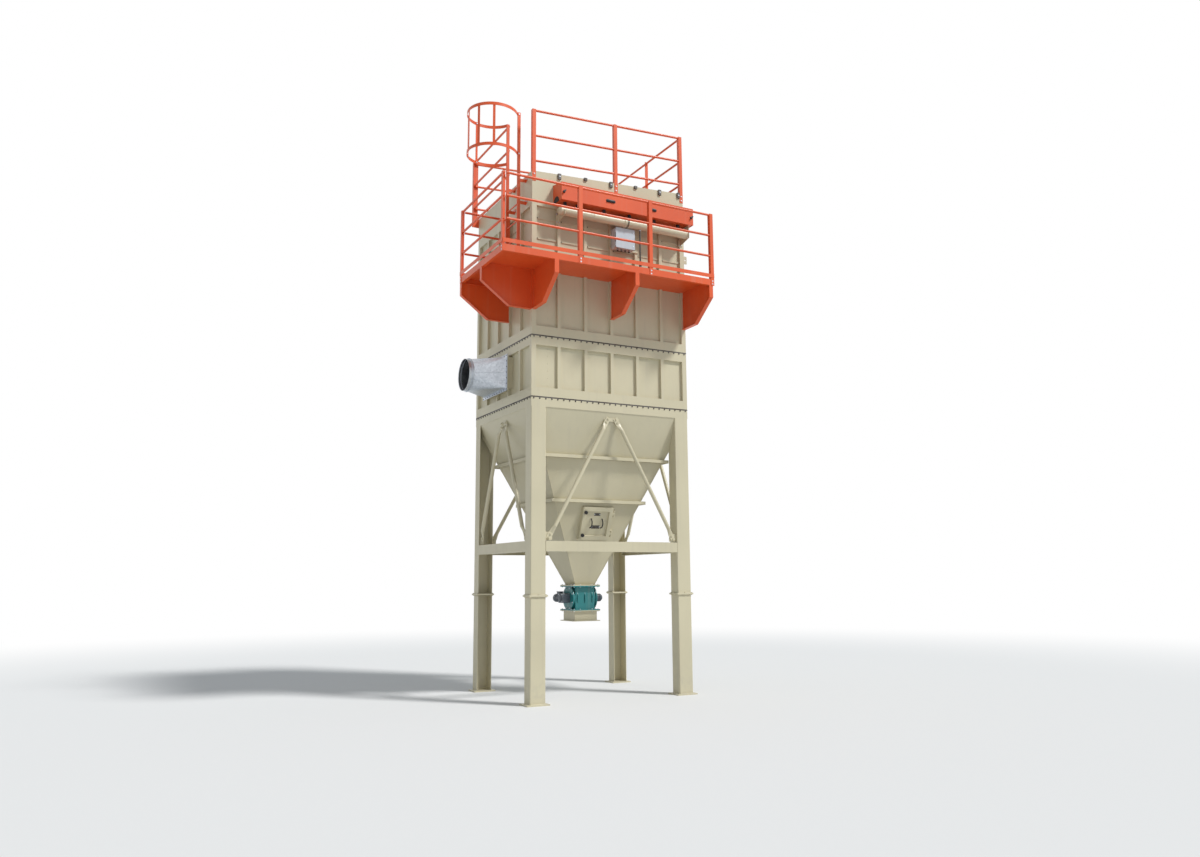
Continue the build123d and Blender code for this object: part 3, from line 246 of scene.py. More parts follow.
@dataclass(frozen=True)
class PaintFinish:
    """Sprayed paint on steel, with rain streaks, dust on what faces up and a fine orange peel."""

    name: str
    colour: Colour
    worn: Colour
    roughness: float = 0.42
    streaks: float = 0.5
    dust: float = 0.45
    dust_colour: Colour = (0.44, 0.40, 0.32)
    splash_height: float = 0.55
    peel: float = 0.00006
    peel_scale: float = 240.0
    waviness: float = 0.0012
    wave_scale: float = 1.6
    coat: float = 0.15
    coat_roughness: float = 0.18
    specular: float = 0.45
    level_faces: Pair = (0.35, 0.95)
    mottle_scale: float = 14.0
    mottle_tint: float = 0.25
    mottle_rough: float = 0.14
    fading: Wear = Wear(0.9, 3.0, 0.38, 0.66, 0.5)
    rain: Wear = Wear(1.0, 4.0, 0.52, 0.78, 0.45, 0.08, (11.0, 11.0, 0.42))
    drips: Wear = Wear(1.0, 3.0, 0.60, 0.82, 0.35, stretch=(34.0, 34.0, 0.9))
    settling: Wear = Wear(5.0, 4.0, 0.25, 0.7, 1.0, 0.25)
    splash: Wear = Wear(9.0, 4.0, 0.42, 0.7, 0.45, 0.2)

    def make(self) -> Material:
        """Build the paint's material.

        Returns:
            The material.
        """
        paint = Painter(self.name)
        faded = paint.patches(self.fading)
        mottle = paint.noise(self.mottle_scale, detail=3.0)
        steep = 1.0 - paint.math("ABSOLUTE", paint.facing_up, 0.0)
        rain = paint.patches(self.rain) * steep
        drips = paint.patches(self.drips) * steep
        settled = paint.facing_up.ramp(*self.level_faces) * paint.patches(self.settling)
        splash = (1.0 - paint.height / self.splash_height).clamped() * paint.patches(self.splash)
        base = paint.mix(faded * self.fading.tint + mottle * self.mottle_tint, self.colour, self.worn)
        streaks = (rain * self.rain.tint + drips * self.drips.tint) * self.streaks
        base = paint.mix(streaks, base, self.dust_colour)
        base = paint.mix(settled * (self.settling.tint * self.dust), base, self.dust_colour)
        base = paint.mix(splash * self.splash.tint, base, self.dust_colour)
        rough = self.roughness + (mottle - 0.5) * self.mottle_rough + rain * self.rain.rough
        rough = rough + settled * self.settling.rough + splash * self.splash.rough
        waves = paint.noise(self.wave_scale) * self.waviness
        skin = waves + paint.noise(self.peel_scale, detail=1.0) * self.peel
        coat = {"Coat Weight": self.coat, "Coat Roughness": self.coat_roughness}
        fixed = {**coat, "Specular IOR Level": self.specular}
        return paint.finish(base, rough.clamped(), skin, fixed)


@dataclass(frozen=True)
class ZincFinish:
    """Hot-dip galvanised sheet with its spangle and a soft waviness."""

    name: str
    bright: Colour = (0.66, 0.70, 0.75)
    dull: Colour = (0.47, 0.51, 0.56)
    metallic: float = 0.9
    roughness: float = 0.34
    flake_scale: float = 42.0
    flake_tint: float = 0.55
    flake_rough: float = 0.16
    flake_height: float = 0.00002
    warp_scale: float = 30.0
    warp: float = 0.012
    waviness: float = 0.0016
    wave_scale: float = 2.5
    dulling: Wear = Wear(2.2, 4.0, 0.35, 0.7, 0.35, 0.08)

    def make(self) -> Material:
        """Build the sheet's material.

        Returns:
            The material.
        """
        zinc = Painter(self.name)
        bend = zinc.out("ShaderNodeTexNoise", {"Vector": zinc.place, "Scale": self.warp_scale}, output=1)
        shift = zinc.out("ShaderNodeVectorMath", {0: bend, "Scale": self.warp}, {"operation": "SCALE"})
        spot = zinc.out("ShaderNodeVectorMath", {0: zinc.place, 1: shift}, {"operation": "ADD"})
        flake = zinc.out("ShaderNodeTexVoronoi", {"Vector": spot, "Scale": self.flake_scale}, output=1)
        grain = zinc.out("ShaderNodeSeparateColor", {0: flake})
        dull = zinc.patches(self.dulling)
        tone = (grain * self.flake_tint + dull * self.dulling.tint).clamped()
        base = zinc.mix(tone, self.bright, self.dull)
        rough = self.roughness + grain * self.flake_rough + dull * self.dulling.rough
        skin = zinc.noise(self.wave_scale) * self.waviness + grain * self.flake_height
        return zinc.finish(base, rough, skin, {"Metallic": self.metallic})


@dataclass(frozen=True)
class MetalFinish:
    """Cast, turned or blackened metal with a fine grain and darker hollows."""

    name: str
    colour: Colour
    stain: Colour
    metallic: float
    roughness: float
    grain: float
    grain_height: float
    grain_rough: float = 0.1
    staining: Wear = Wear(7.0, 4.0, 0.4, 0.72, 0.7, 0.15)

    def make(self) -> Material:
        """Build the metal's material.

        Returns:
            The material.
        """
        metal = Painter(self.name)
        stains = metal.patches(self.staining)
        fine = metal.noise(self.grain)
        base = metal.mix(stains * self.staining.tint, self.colour, self.stain)
        rough = self.roughness + stains * self.staining.rough + (fine - 0.5) * self.grain_rough
        return metal.finish(base, rough, fine * self.grain_height, {"Metallic": self.metallic})


@dataclass(frozen=True)
class RubberFinish:
    """Moulded black plastic or rubber with a fine grain and a little dust."""

    name: str
    colour: Colour = (0.018, 0.018, 0.020)
    dust_colour: Colour = (0.10, 0.095, 0.085)
    specular: float = 0.4
    roughness: float = 0.46
    grain: float = 900.0
    grain_height: float = 0.00004
    dusting: Wear = Wear(18.0, 4.0, 0.45, 0.8, 0.35, 0.2)

    def make(self) -> Material:
        """Build the plastic's material.

        Returns:
            The material.
        """
        rubber = Painter(self.name)
        dusty = rubber.patches(self.dusting)
        grain = rubber.noise(self.grain, detail=1.0)
        base = rubber.mix(dusty * self.dusting.tint, self.colour, self.dust_colour)
        rough = self.roughness + dusty * self.dusting.rough
        return rubber.finish(base, rough, grain * self.grain_height, {"Specular IOR Level": self.specular})


def add_object(name: str, data: bpy.types.ID) -> bpy.types.Object:
    """A new object in the scene.

    Args:
        name: Its name.
        data: Its mesh, camera or light.

    Returns:
        The object.
    """
    made = bpy.data.objects.new(name, data)
    bpy.context.scene.collection.objects.link(made)
    return made


@dataclass
class Workshop:
    """Finishes, and the one place where a new piece is named, painted and put on its body."""

    fasteners: "FastenerTree"
    welds: "WeldTree"
    finishes: dict[Slot, Material] = field(default_factory=dict)

    def mix_finishes(self) -> None:
        """Make one material for each finish of the record."""
        recipes = {
            Slot.CREAM: PaintFinish("cream_paint_finish", (0.600, 0.550, 0.385), (0.530, 0.485, 0.340)),
            Slot.ORANGE: PaintFinish(
                "orange_paint_finish", (0.760, 0.105, 0.020), (0.620, 0.075, 0.014), streaks=0.22, dust=0.22
            ),
            Slot.ZINC: ZincFinish("galvanised_sheet_finish"),
            Slot.TEAL: PaintFinish(
                "teal_paint_finish", (0.020, 0.210, 0.215), (0.015, 0.150, 0.160), roughness=0.36, streaks=0.6
            ),
            Slot.MOTOR: PaintFinish(
                "motor_paint_finish", (0.085, 0.105, 0.130), (0.060, 0.075, 0.095), roughness=0.45
            ),
            Slot.CAST: MetalFinish(
                "cast_valve_finish", (0.60, 0.61, 0.62), (0.34, 0.34, 0.33),
                metallic=0.85, roughness=0.42, grain=320.0, grain_height=0.0002
            ),
            Slot.ENAMEL: PaintFinish(
                "grey_enamel_finish", (0.560, 0.640, 0.690), (0.500, 0.580, 0.630),
                roughness=0.26, streaks=0.25, dust=0.3, coat=0.5
            ),
            Slot.STEEL: MetalFinish(
                "dark_steel_finish", (0.105, 0.098, 0.090), (0.060, 0.045, 0.035),
                metallic=0.55, roughness=0.50, grain=240.0, grain_height=0.0001
            ),
            Slot.RUBBER: RubberFinish("black_plastic_finish"),
        }
        self.finishes = {slot: recipe.make() for slot, recipe in recipes.items()}

    def cover(self, mesh: Mesh, slot: Slot) -> None:
        """Give a mesh one finish."""
        mesh.materials.clear()
        mesh.materials.append(self.finishes[slot])

    def deliver(self, name: str, mesh: Mesh, slot: Slot, body: Body) -> None:
        """Turn a mesh into a finished piece of the filter.

        Args:
            name: The piece's name.
            mesh: Its mesh, in the frame's own place.
            slot: The finish that it takes.
            body: The body that it moves with.
        """
        mesh.name = name
        piece = add_object(name, mesh)
        self.cover(mesh, slot)
        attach(piece, body.value)
        log.info("%s: %d faces on %s", name, len(mesh.polygons), body.value)


@dataclass(frozen=True)
class Seat:
    """A face of the filter that things are fixed to: an origin with a right and an up direction."""

    origin: Vector
    right: Vector
    up: Vector

    @property
    def out(self) -> Vector:
        """Direction away from the face."""
        return self.right.cross(self.up)

    def at(self, x: float, y: float, z: float = 0.0) -> Vector:
        """A point of the face's own frame in the frame of the filter."""
        return self.origin + self.right * x + self.up * y + self.out * z

    def spot(self, x: float, y: float, z: float = 0.0) -> Spot:
        """A point of the face, and the way out of it."""
        return self.at(x, y, z), self.out

    def spots(self, places: Iterable[Pair], z: float = 0.0) -> list[Spot]:
        """Points at one distance from the face, and the way out of it."""
        return [self.spot(x, y, z) for x, y in places]

    def through(self, places: Iterable[Pair], head: float, nut: float) -> list[Spot]:
        """A bolt's head and its nut at each place, by their distances from the face."""
        pairs = [(self.spot(x, y, head), (self.at(x, y, nut), -self.out)) for x, y in places]
        return [spot for pair in pairs for spot in pair]

    def moved(self, x: float, y: float, z: float = 0.0) -> "Seat":
        """The same face with its origin at another of its points."""
        return Seat(self.at(x, y, z), self.right, self.up)

    def turned(self, degrees: float) -> "Seat":
        """The same face with its directions turned about its outward axis."""
        share, rest = math.cos(math.radians(degrees)), math.sin(math.radians(degrees))
        return Seat(self.origin, self.right * share + self.up * rest, self.up * share - self.right * rest)


X_AXIS = Vector((1, 0, 0))
Y_AXIS = Vector((0, 1, 0))
Z_AXIS = Vector((0, 0, 1))
HANDS = (-1, 1)


class Side(Enum):
    """The four upright sides of the casing, as the right direction of each, seen from outside."""

    FRONT = (1, 0)
    REAR = (-1, 0)
    LEFT = (0, -1)
    RIGHT = (0, 1)

    def at(self, x: float, y: float, z: float) -> Seat:
        """A seat at a point, which faces as this side does."""
        return Seat(Vector((x, y, z)), Vector((*self.value, 0)), Z_AXIS)

    def seat(self, low: Vector, high: Vector) -> Seat:
        """The side's face on a box.

        Args:
            low: The box's lowest corner.
            high: Its highest corner.

        Returns:
            A seat with its origin on the floor, at the middle of the side.
        """
        out = self.at(0, 0, 0).out
        middle = (low + high) / 2
        half = (high - low) / 2
        return self.at(middle.x + out.x * half.x, middle.y + out.y * half.y, 0)

    def half(self, low: Vector, high: Vector) -> float:
        """Half the width of the side on a box."""
        span = high - low
        return (span.x if self.value[0] else span.y) / 2


def upward(x: float, y: float, z: float) -> Seat:
    """A seat at a point, which faces up."""
    return Seat(Vector((x, y, z)), X_AXIS, Y_AXIS)


def spread(start: float, end: float, pitch: float) -> list[float]:
    """Places from start to end, both kept, about one pitch apart."""
    count = max(1, round(abs(end - start) / pitch))
    return [start + (end - start) * step / count for step in range(count + 1)]


def circle(radius: float, count: int, start: float = 0.0) -> list[Pair]:
    """Places evenly round a circle, of which the first is start steps past the right."""
    turns = [math.tau * (step + start) / count for step in range(count)]
    return [(radius * math.cos(turn), radius * math.sin(turn)) for turn in turns]


def rectangle(left: float, front: float, right: float, rear: float) -> list[Pair]:
    """Corner points of a rectangle, anticlockwise."""
    return [(left, front), (right, front), (right, rear), (left, rear)]


def corners(half_x: float, half_y: float) -> list[Pair]:
    """The four corners of a rectangle round the middle."""
    return [(x * half_x, y * half_y) for x in HANDS for y in HANDS]


def around(radius: float, section: Profile) -> list[Pair]:
    """The section of a ring on a tube, given from the tube's surface, as radii and heights."""
    return [(radius + reach, lift) for reach, lift in section]


def rectangle_spots(half_x: float, half_y: float, pitch: float) -> list[Pair]:
    """Places round a rectangle, each corner once.

    Args:
        half_x: Half the width.
        half_y: Half the height.
        pitch: About how far apart they are.

    Returns:
        The places.
    """
    across = [(x, side * half_y) for x in spread(-half_x, half_x, pitch) for side in HANDS]
    along = [(side * half_x, y) for y in spread(-half_y, half_y, pitch)[1:-1] for side in HANDS]
    return across + along


def rounded_outline(width: float, height: float, corner: float, steps: int = 4) -> list[Pair]:
    """Corner points of a rectangle with rounded corners, anticlockwise about its middle.

    Args:
        width: The whole width.
        height: The whole height.
        corner: Radius of the corners.
        steps: Number of straight steps in each corner.

    Returns:
        The points.
    """
    points = []
    for quarter, (side_x, side_y) in enumerate(((1, 1), (-1, 1), (-1, -1), (1, -1))):
        for step in range(steps + 1):
            angle = math.pi / 2 * quarter + math.pi / 2 * step / steps
            x = side_x * (width / 2 - corner) + corner * math.cos(angle)
            y = side_y * (height / 2 - corner) + corner * math.sin(angle)
            points.append((x, y))
    return points


@dataclass(frozen=True)
class Plate:
    """Sizes of a plate with rounded corners and a bevel round its front."""

    width: float
    height: float
    depth: float
    corner: float
    bevel: float


class Mesher:
    """Collects closed forms in one mesh."""

    bevel_turn: float = 0.3
    least_corner: float = 0.0004
    bar_shoulder: float = 0.7
    smooth_limit: float = math.radians(35.0)

    def __init__(self) -> None:
        """Start an empty mesh."""
        self.bm = bmesh.new()

    def skin(self, near: Sequence[bmesh.types.BMVert], far: Sequence[bmesh.types.BMVert]) -> None:
        """Faces between two rings of vertices."""
        for quad in zip(near, near[1:] + near[:1], far[1:] + far[:1], far):
            self.bm.faces.new(quad)

    def loft(self, rings: Sequence[Ring], closed: bool = False) -> None:
        """Skin a row of rings.

        Args:
            rings: Rings of equally many points, in order.
            closed: True joins the last ring to the first one, and otherwise both ends get a cap.
        """
        rows = [[self.bm.verts.new(point) for point in ring] for ring in rings]
        pairs = list(zip(rows, rows[1:]))
        if closed:
            pairs.append((rows[-1], rows[0]))
        for near, far in pairs:
            self.skin(near, far)
        if not closed:
            self.bm.faces.new(tuple(reversed(rows[0])))
            self.bm.faces.new(tuple(rows[-1]))

    def pad(self, seat: Seat, plate: Plate) -> None:
        """A plate that stands on a seat's origin.

        Args:
            seat: Where it stands.
            plate: Its sizes.
        """
        bevel, depth = plate.bevel, plate.depth
        turn = bevel * self.bevel_turn
        rings = []
        for inset, lift in ((0.0, 0.0), (0.0, depth - bevel), (turn, depth - turn), (bevel, depth)):
            corner = max(plate.corner - inset, self.least_corner)
            outline = rounded_outline(plate.width - 2 * inset, plate.height - 2 * inset, corner)
            rings.append([seat.at(x, y, lift) for x, y in outline])
        self.loft(rings)

    def bar(self, start: Vector, end: Vector, out: Vector, width: float, height: float) -> None:
        """A flat bar along a line, with its top edges bevelled.

        Args:
            start: Where the middle of its foot begins.
            end: Where the middle of its foot ends.
            out: The way that it stands up.
            width: Its width.
            height: How far it stands up.
        """
        across = (end - start).cross(out).normalized() * (width / 2)
        edge = self.bar_shoulder
        section = ((-1.0, 0.0), (-1.0, edge), (-edge, 1.0), (edge, 1.0), (1.0, edge), (1.0, 0.0))
        self.loft([[point + across * x + out * (height * y) for x, y in section] for point in (start, end)])

    def lathe(self, seat: Seat, profile: Sequence[Pair], sides: int, closed: bool = False) -> None:
        """Turn a profile of radii and heights about a seat's outward axis. A closed one makes a ring."""
        rings = [[seat.at(x, y, lift) for x, y in circle(radius, sides)] for radius, lift in profile]
        self.loft(rings, closed)

    def sheet(self, seat: Seat, loops: Sequence[Sequence[Pair]], depth: float) -> None:
        """A flat sheet, which may have holes.

        Args:
            seat: Where the sheet lies.
            loops: Corner points of its edge, and then those of each hole.
            depth: Its thickness.
        """
        rows = [
            [[self.bm.verts.new(seat.at(x, y, lift)) for x, y in loop] for loop in loops]
            for lift in (0.0, depth)
        ]
        flat = [[Vector((x, y, 0)) for x, y in loop] for loop in loops]
        for corners in tessellate_polygon(flat):
            for row in rows:
                points = [point for loop in row for point in loop]
                self.bm.faces.new([points[index] for index in corners])
        for near, far in zip(*rows):
            self.skin(near, far)

    def mesh(self, name: str) -> Mesh:
        """Finish the mesh, with outward faces, and smooth where it turns only a little.

        Args:
            name: Its name.

        Returns:
            The mesh.
        """
        bmesh.ops.recalc_face_normals(self.bm, faces=self.bm.faces)
        for face in self.bm.faces:
            face.smooth = True
        for edge in self.bm.edges:
            edge.smooth = edge.calc_face_angle(math.pi) < self.smooth_limit
        made = bpy.data.meshes.new(name)
        self.bm.to_mesh(made)
        self.bm.free()
        return made


class ShapeTree(Graph):
    """A Geometry Nodes tree with named inputs for its sizes, which ends in one plain mesh."""

    def __init__(self, name: str, inputs: dict[str, str]) -> None:
        """Start a tree.

        Args:
            name: The tree's name.
            inputs: The type of each input, such as Float, Int or Vector, by the input's name.
        """
        super().__init__(bpy.data.node_groups.new(name, "GeometryNodeTree"))
        sockets = self.tree.interface
        for label, kind in {"Geometry": "Geometry", **inputs, "Material": "Material"}.items():
            sockets.new_socket(label, in_out="INPUT", socket_type="NodeSocket" + kind)
        sockets.new_socket("Geometry", in_out="OUTPUT", socket_type="NodeSocketGeometry")
        self.entry = self.node("NodeGroupInput")

    def given(self, label: str) -> Wire:
        """The wire of a named input."""
        return Wire(self, self.entry.outputs[label])

    def close(self, shape: Wire) -> None:
        """End the tree: realize what is instanced and give it the material.

        Args:
            shape: What the tree makes.
        """
        solid = self.out("GeometryNodeRealizeInstances", {0: shape})
        painted = self.out("GeometryNodeSetMaterial", {0: solid, "Material": self.given("Material")})
        self.node("NodeGroupOutput", {0: painted})

    def join(self, *shapes: Wire) -> Wire:
        """Several shapes as one.

        Args:
            *shapes: The shapes.

        Returns:
            All of them.
        """
        joined = self.node("GeometryNodeJoinGeometry")
        for shape in shapes:
            self.tree.links.new(shape.socket, joined.inputs[0])
        return Wire(self, joined.outputs[0])

    def lifted(self, shape: Wire, height: Wire) -> Wire:
        """A shape moved up along its own axis."""
        offset = self.out("ShaderNodeCombineXYZ", {"Z": height})
        return self.out("GeometryNodeTransform", {0: shape, "Translation": offset})

    def grow(self, carrier: Mesh, sizes: dict[str, Any], material: Material) -> Mesh:
        """Run the tree on a carrier mesh.

        Args:
            carrier: The mesh that the tree starts from.
            sizes: A value for each named input.
            material: The material that the result gets.

        Returns:
            The evaluated result as a plain mesh.
        """
        holder = add_object("holder", carrier)
        modifier = holder.modifiers.new("shape", "NODES")
        modifier.node_group = self.tree
        values = {**sizes, "Material": material}
        for item in self.tree.interface.items_tree:
            if item.in_out == "INPUT" and item.name in values:
                modifier[item.identifier] = values[item.name]
        graph = bpy.context.evaluated_depsgraph_get()
        made = bpy.data.meshes.new_from_object(holder.evaluated_get(graph), depsgraph=graph)
        holder.modifiers.remove(modifier)
        bpy.data.objects.remove(holder)
        bpy.data.meshes.remove(carrier)
        return made


def spot_mesh(spots: Sequence[Spot]) -> Mesh:
    """Points with an attribute that says which way each one faces.

    Args:
        spots: A point and the way that it faces, for each one.

    Returns:
        The points as a mesh.
    """
    mesh = bpy.data.meshes.new("spots")
    mesh.from_pydata([place for place, _ in spots], [], [])
    facing = mesh.attributes.new("facing", "FLOAT_VECTOR", "POINT")
    for item, (_, way) in zip(facing.data, spots):
        item.vector = way
    return mesh


def path_mesh(paths: Iterable[Ring]) -> Mesh:
    """Open lines through lists of points, as edges.

    Args:
        paths: The points of each line.

    Returns:
        The lines as a mesh.
    """
    points: list[Vector] = []
    edges: list[tuple[int, int]] = []
    for path in paths:
        start = len(points)
        points.extend(path)
        edges.extend((start + step, start + step + 1) for step in range(len(path) - 1))
    mesh = bpy.data.meshes.new("paths")
    mesh.from_pydata(points, edges, [])
    return mesh


@dataclass(frozen=True)
class FastenerSize:
    """Sizes of one kind of bolt, screw or rivet, by the names of its tree's inputs."""

    radius: float
    top_radius: float
    height: float
    sides: int
    washer_radius: float
    washer_height: float


class Fastener(Enum):
    """The kinds of fastener on the filter."""

    HEAVY_BOLT = FastenerSize(0.0150, 0.0138, 0.0125, 6, 0.0185, 0.0030)
    BOLT = FastenerSize(0.0095, 0.00874, 0.0080, 6, 0.0120, 0.0020)
    BUTTON = FastenerSize(0.0100, 0.0055, 0.0036, 10, 0.0125, 0.0012)
    SCREW = FastenerSize(0.0070, 0.0056, 0.0055, 6, 0.0100, 0.0015)
    RIVET = FastenerSize(0.0065, 0.002925, 0.0040, 8, 0.0085, 0.0010)


class FastenerTree:
    """The tree that sets a fastener on every point, its axis along the way that the point faces."""

    washer_sides: int = 12
    seed: int = 11

    def __init__(self) -> None:
        """Build the tree."""
        lengths = dict.fromkeys(("radius", "top_radius", "height", "washer_radius", "washer_height"), "Float")
        tree = ShapeTree("fastener_tree", {**lengths, "sides": "Int", "seed": "Int"})
        thickness = tree.given("washer_height")
        cone = {
            "Vertices": tree.given("sides"),
            "Radius Bottom": tree.given("radius"),
            "Radius Top": tree.given("top_radius"),
            "Depth": tree.given("height"),
        }
        head = tree.lifted(tree.out("GeometryNodeMeshCone", cone), thickness)
        disc = {"Vertices": self.washer_sides, "Radius": tree.given("washer_radius"), "Depth": thickness}
        washer = tree.lifted(tree.out("GeometryNodeMeshCylinder", disc), thickness * 0.5)
        kind = {"data_type": "FLOAT_VECTOR"}
        way = tree.out("GeometryNodeInputNamedAttribute", {"Name": "facing"}, kind)
        turn = tree.out("FunctionNodeAlignRotationToVector", {"Vector": way}, {"axis": "Z"})
        spots = {"Points": tree.given("Geometry"), "Instance": tree.join(head, washer), "Rotation": turn}
        placed = tree.out("GeometryNodeInstanceOnPoints", spots)
        limits = {2: 0.0, 3: math.tau, "Seed": tree.given("seed")}
        spin = tree.out("FunctionNodeRandomValue", limits, {"data_type": "FLOAT"}, 1)
        axis = tree.out("ShaderNodeCombineXYZ", {"Z": spin})
        tree.close(tree.out("GeometryNodeRotateInstances", {0: placed, "Rotation": axis}))
        self.tree = tree

    def grow(self, kind: Fastener, spots: Sequence[Spot], material: Material) -> Mesh:
        """Set one kind of fastener on its spots, as one mesh."""
        return self.tree.grow(spot_mesh(spots), {**vars(kind.value), "seed": self.seed}, material)


class Bead(Enum):
    """Radii of the weld beads on the filter."""

    THIN = 0.005
    MIDDLE = 0.006
    HEAVY = 0.007


class WeldTree:
    """The tree that lays a rippled weld bead along lines."""

    sides: int = 6
    step: float = 0.02
    ripple: float = 0.9
    ripple_scale: float = 90.0

    def __init__(self) -> None:
        """Build the tree."""
        tree = ShapeTree("weld_tree", {"Radius": "Float", "Step": "Float", "Ripple": "Float"})
        line = tree.out("GeometryNodeMeshToCurve", {0: tree.given("Geometry")})
        steps = {0: line, "Length": tree.given("Step")}
        fine = tree.out("GeometryNodeResampleCurve", steps, {"mode": "LENGTH"})
        ring = {"Resolution": self.sides, "Radius": tree.given("Radius")}
        section = tree.out("GeometryNodeCurvePrimitiveCircle", ring)
        bead = tree.out("GeometryNodeCurveToMesh", {0: fine, 1: section, "Fill Caps": True})
        place = tree.out("GeometryNodeInputPosition")
        noise = tree.out("ShaderNodeTexNoise", {"Vector": place, "Scale": self.ripple_scale}, output=1)
        even = tree.out("ShaderNodeVectorMath", {0: noise, 1: (0.5, 0.5, 0.5)}, {"operation": "SUBTRACT"})
        share = {0: even, "Scale": tree.given("Ripple")}
        push = tree.out("ShaderNodeVectorMath", share, {"operation": "SCALE"})
        tree.close(tree.out("GeometryNodeSetPosition", {0: bead, "Offset": push}))
        self.tree = tree

    def grow(self, paths: Iterable[Ring], bead: Bead, material: Material) -> Mesh:
        """Lay beads of one size along paths.

        Args:
            paths: The points of each bead.
            bead: The beads' size.
            material: The finish.

        Returns:
            All of them as one smooth mesh.
        """
        sizes = {"Radius": bead.value, "Step": self.step, "Ripple": bead.value * self.ripple}
        made = self.tree.grow(path_mesh(paths), sizes, material)
        made.shade_smooth()
        return made


@dataclass
class Assembly:
    """What every sub-assembly of the filter does in the same way."""

    shop: Workshop

    def paint(self, slot: Slot, *nodes: str) -> None:
        """Give several solids of the frame one finish."""
        for node in nodes:
            self.shop.cover(frame["nodes"][node].data, slot)

    def deliver(self, name: str, mesher: Mesher, slot: Slot, body: Body = Body.STRUCTURE) -> None:
        """Finish a mesh in progress and deliver it as a piece."""
        self.shop.deliver(name, mesher.mesh(name), slot, body)

    def turn(
        self, name: str, slot: Slot, seats: Iterable[Seat], profile: Sequence[Pair], sides: int, closed: bool
    ) -> None:
        """Turn one profile about the axis of each of several seats, as one piece of the structure.

        Args:
            name: The piece's name.
            slot: The finish.
            seats: Where the axes start.
            profile: Pairs of radius and height along the axis.
            sides: Number of facets round the axis.
            closed: True for rings, whose profile closes on itself.
        """
        turned = Mesher()
        for seat in seats:
            turned.lathe(seat, profile, sides, closed)
        self.deliver(name, turned, slot)

    def pads(self, name: str, slot: Slot, seats: Iterable[Seat], plate: Plate) -> None:
        """Set one plate on each of several seats, as one piece of the structure.

        Args:
            name: The piece's name.
            slot: The finish.
            seats: Where the plates stand.
            plate: Their sizes.
        """
        plates = Mesher()
        for seat in seats:
            plates.pad(seat, plate)
        self.deliver(name, plates, slot)

    def fasten(
        self, name: str, kind: Fastener, spots: Sequence[Spot],
        slot: Slot = Slot.ZINC, body: Body = Body.STRUCTURE
    ) -> None:
        """Set one kind of fastener on its spots, as one piece."""
        mesh = self.shop.fasteners.grow(kind, spots, self.shop.finishes[slot])
        self.shop.deliver(name, mesh, slot, body)

    def weld(
        self, name: str, paths: Iterable[Ring], bead: Bead = Bead.MIDDLE, slot: Slot = Slot.CREAM
    ) -> None:
        """Lay beads along paths, as one piece of the structure."""
        mesh = self.shop.welds.grow(paths, bead, self.shop.finishes[slot])
        self.shop.deliver(name, mesh, slot, Body.STRUCTURE)


@dataclass(frozen=True)
class Panels:
    """Ribs and recessed panels of the casing's walls."""

    inset: float = 0.045
    corner: float = 0.080
    rib: float = 0.055
    front_bays: int = 6
    side_bays: int = 5

    def gap(self, start: float, end: float, bay: int, bays: int) -> Pair:
        """Both edges of the recess in one bay of a wall.

        Args:
            start: Where the wall begins.
            end: Where the wall ends.
            bay: The bay's number, from 0.
            bays: How many bays the wall has.

        Returns:
            Where the recess begins and ends.
        """
        pitch = (end - start) / bays
        near = start + (bay * pitch + self.rib / 2 if bay else self.corner)
        far = start + (bay + 1) * pitch - (self.corner if bay == bays - 1 else self.rib / 2)
        return near, far


PANELS = Panels()


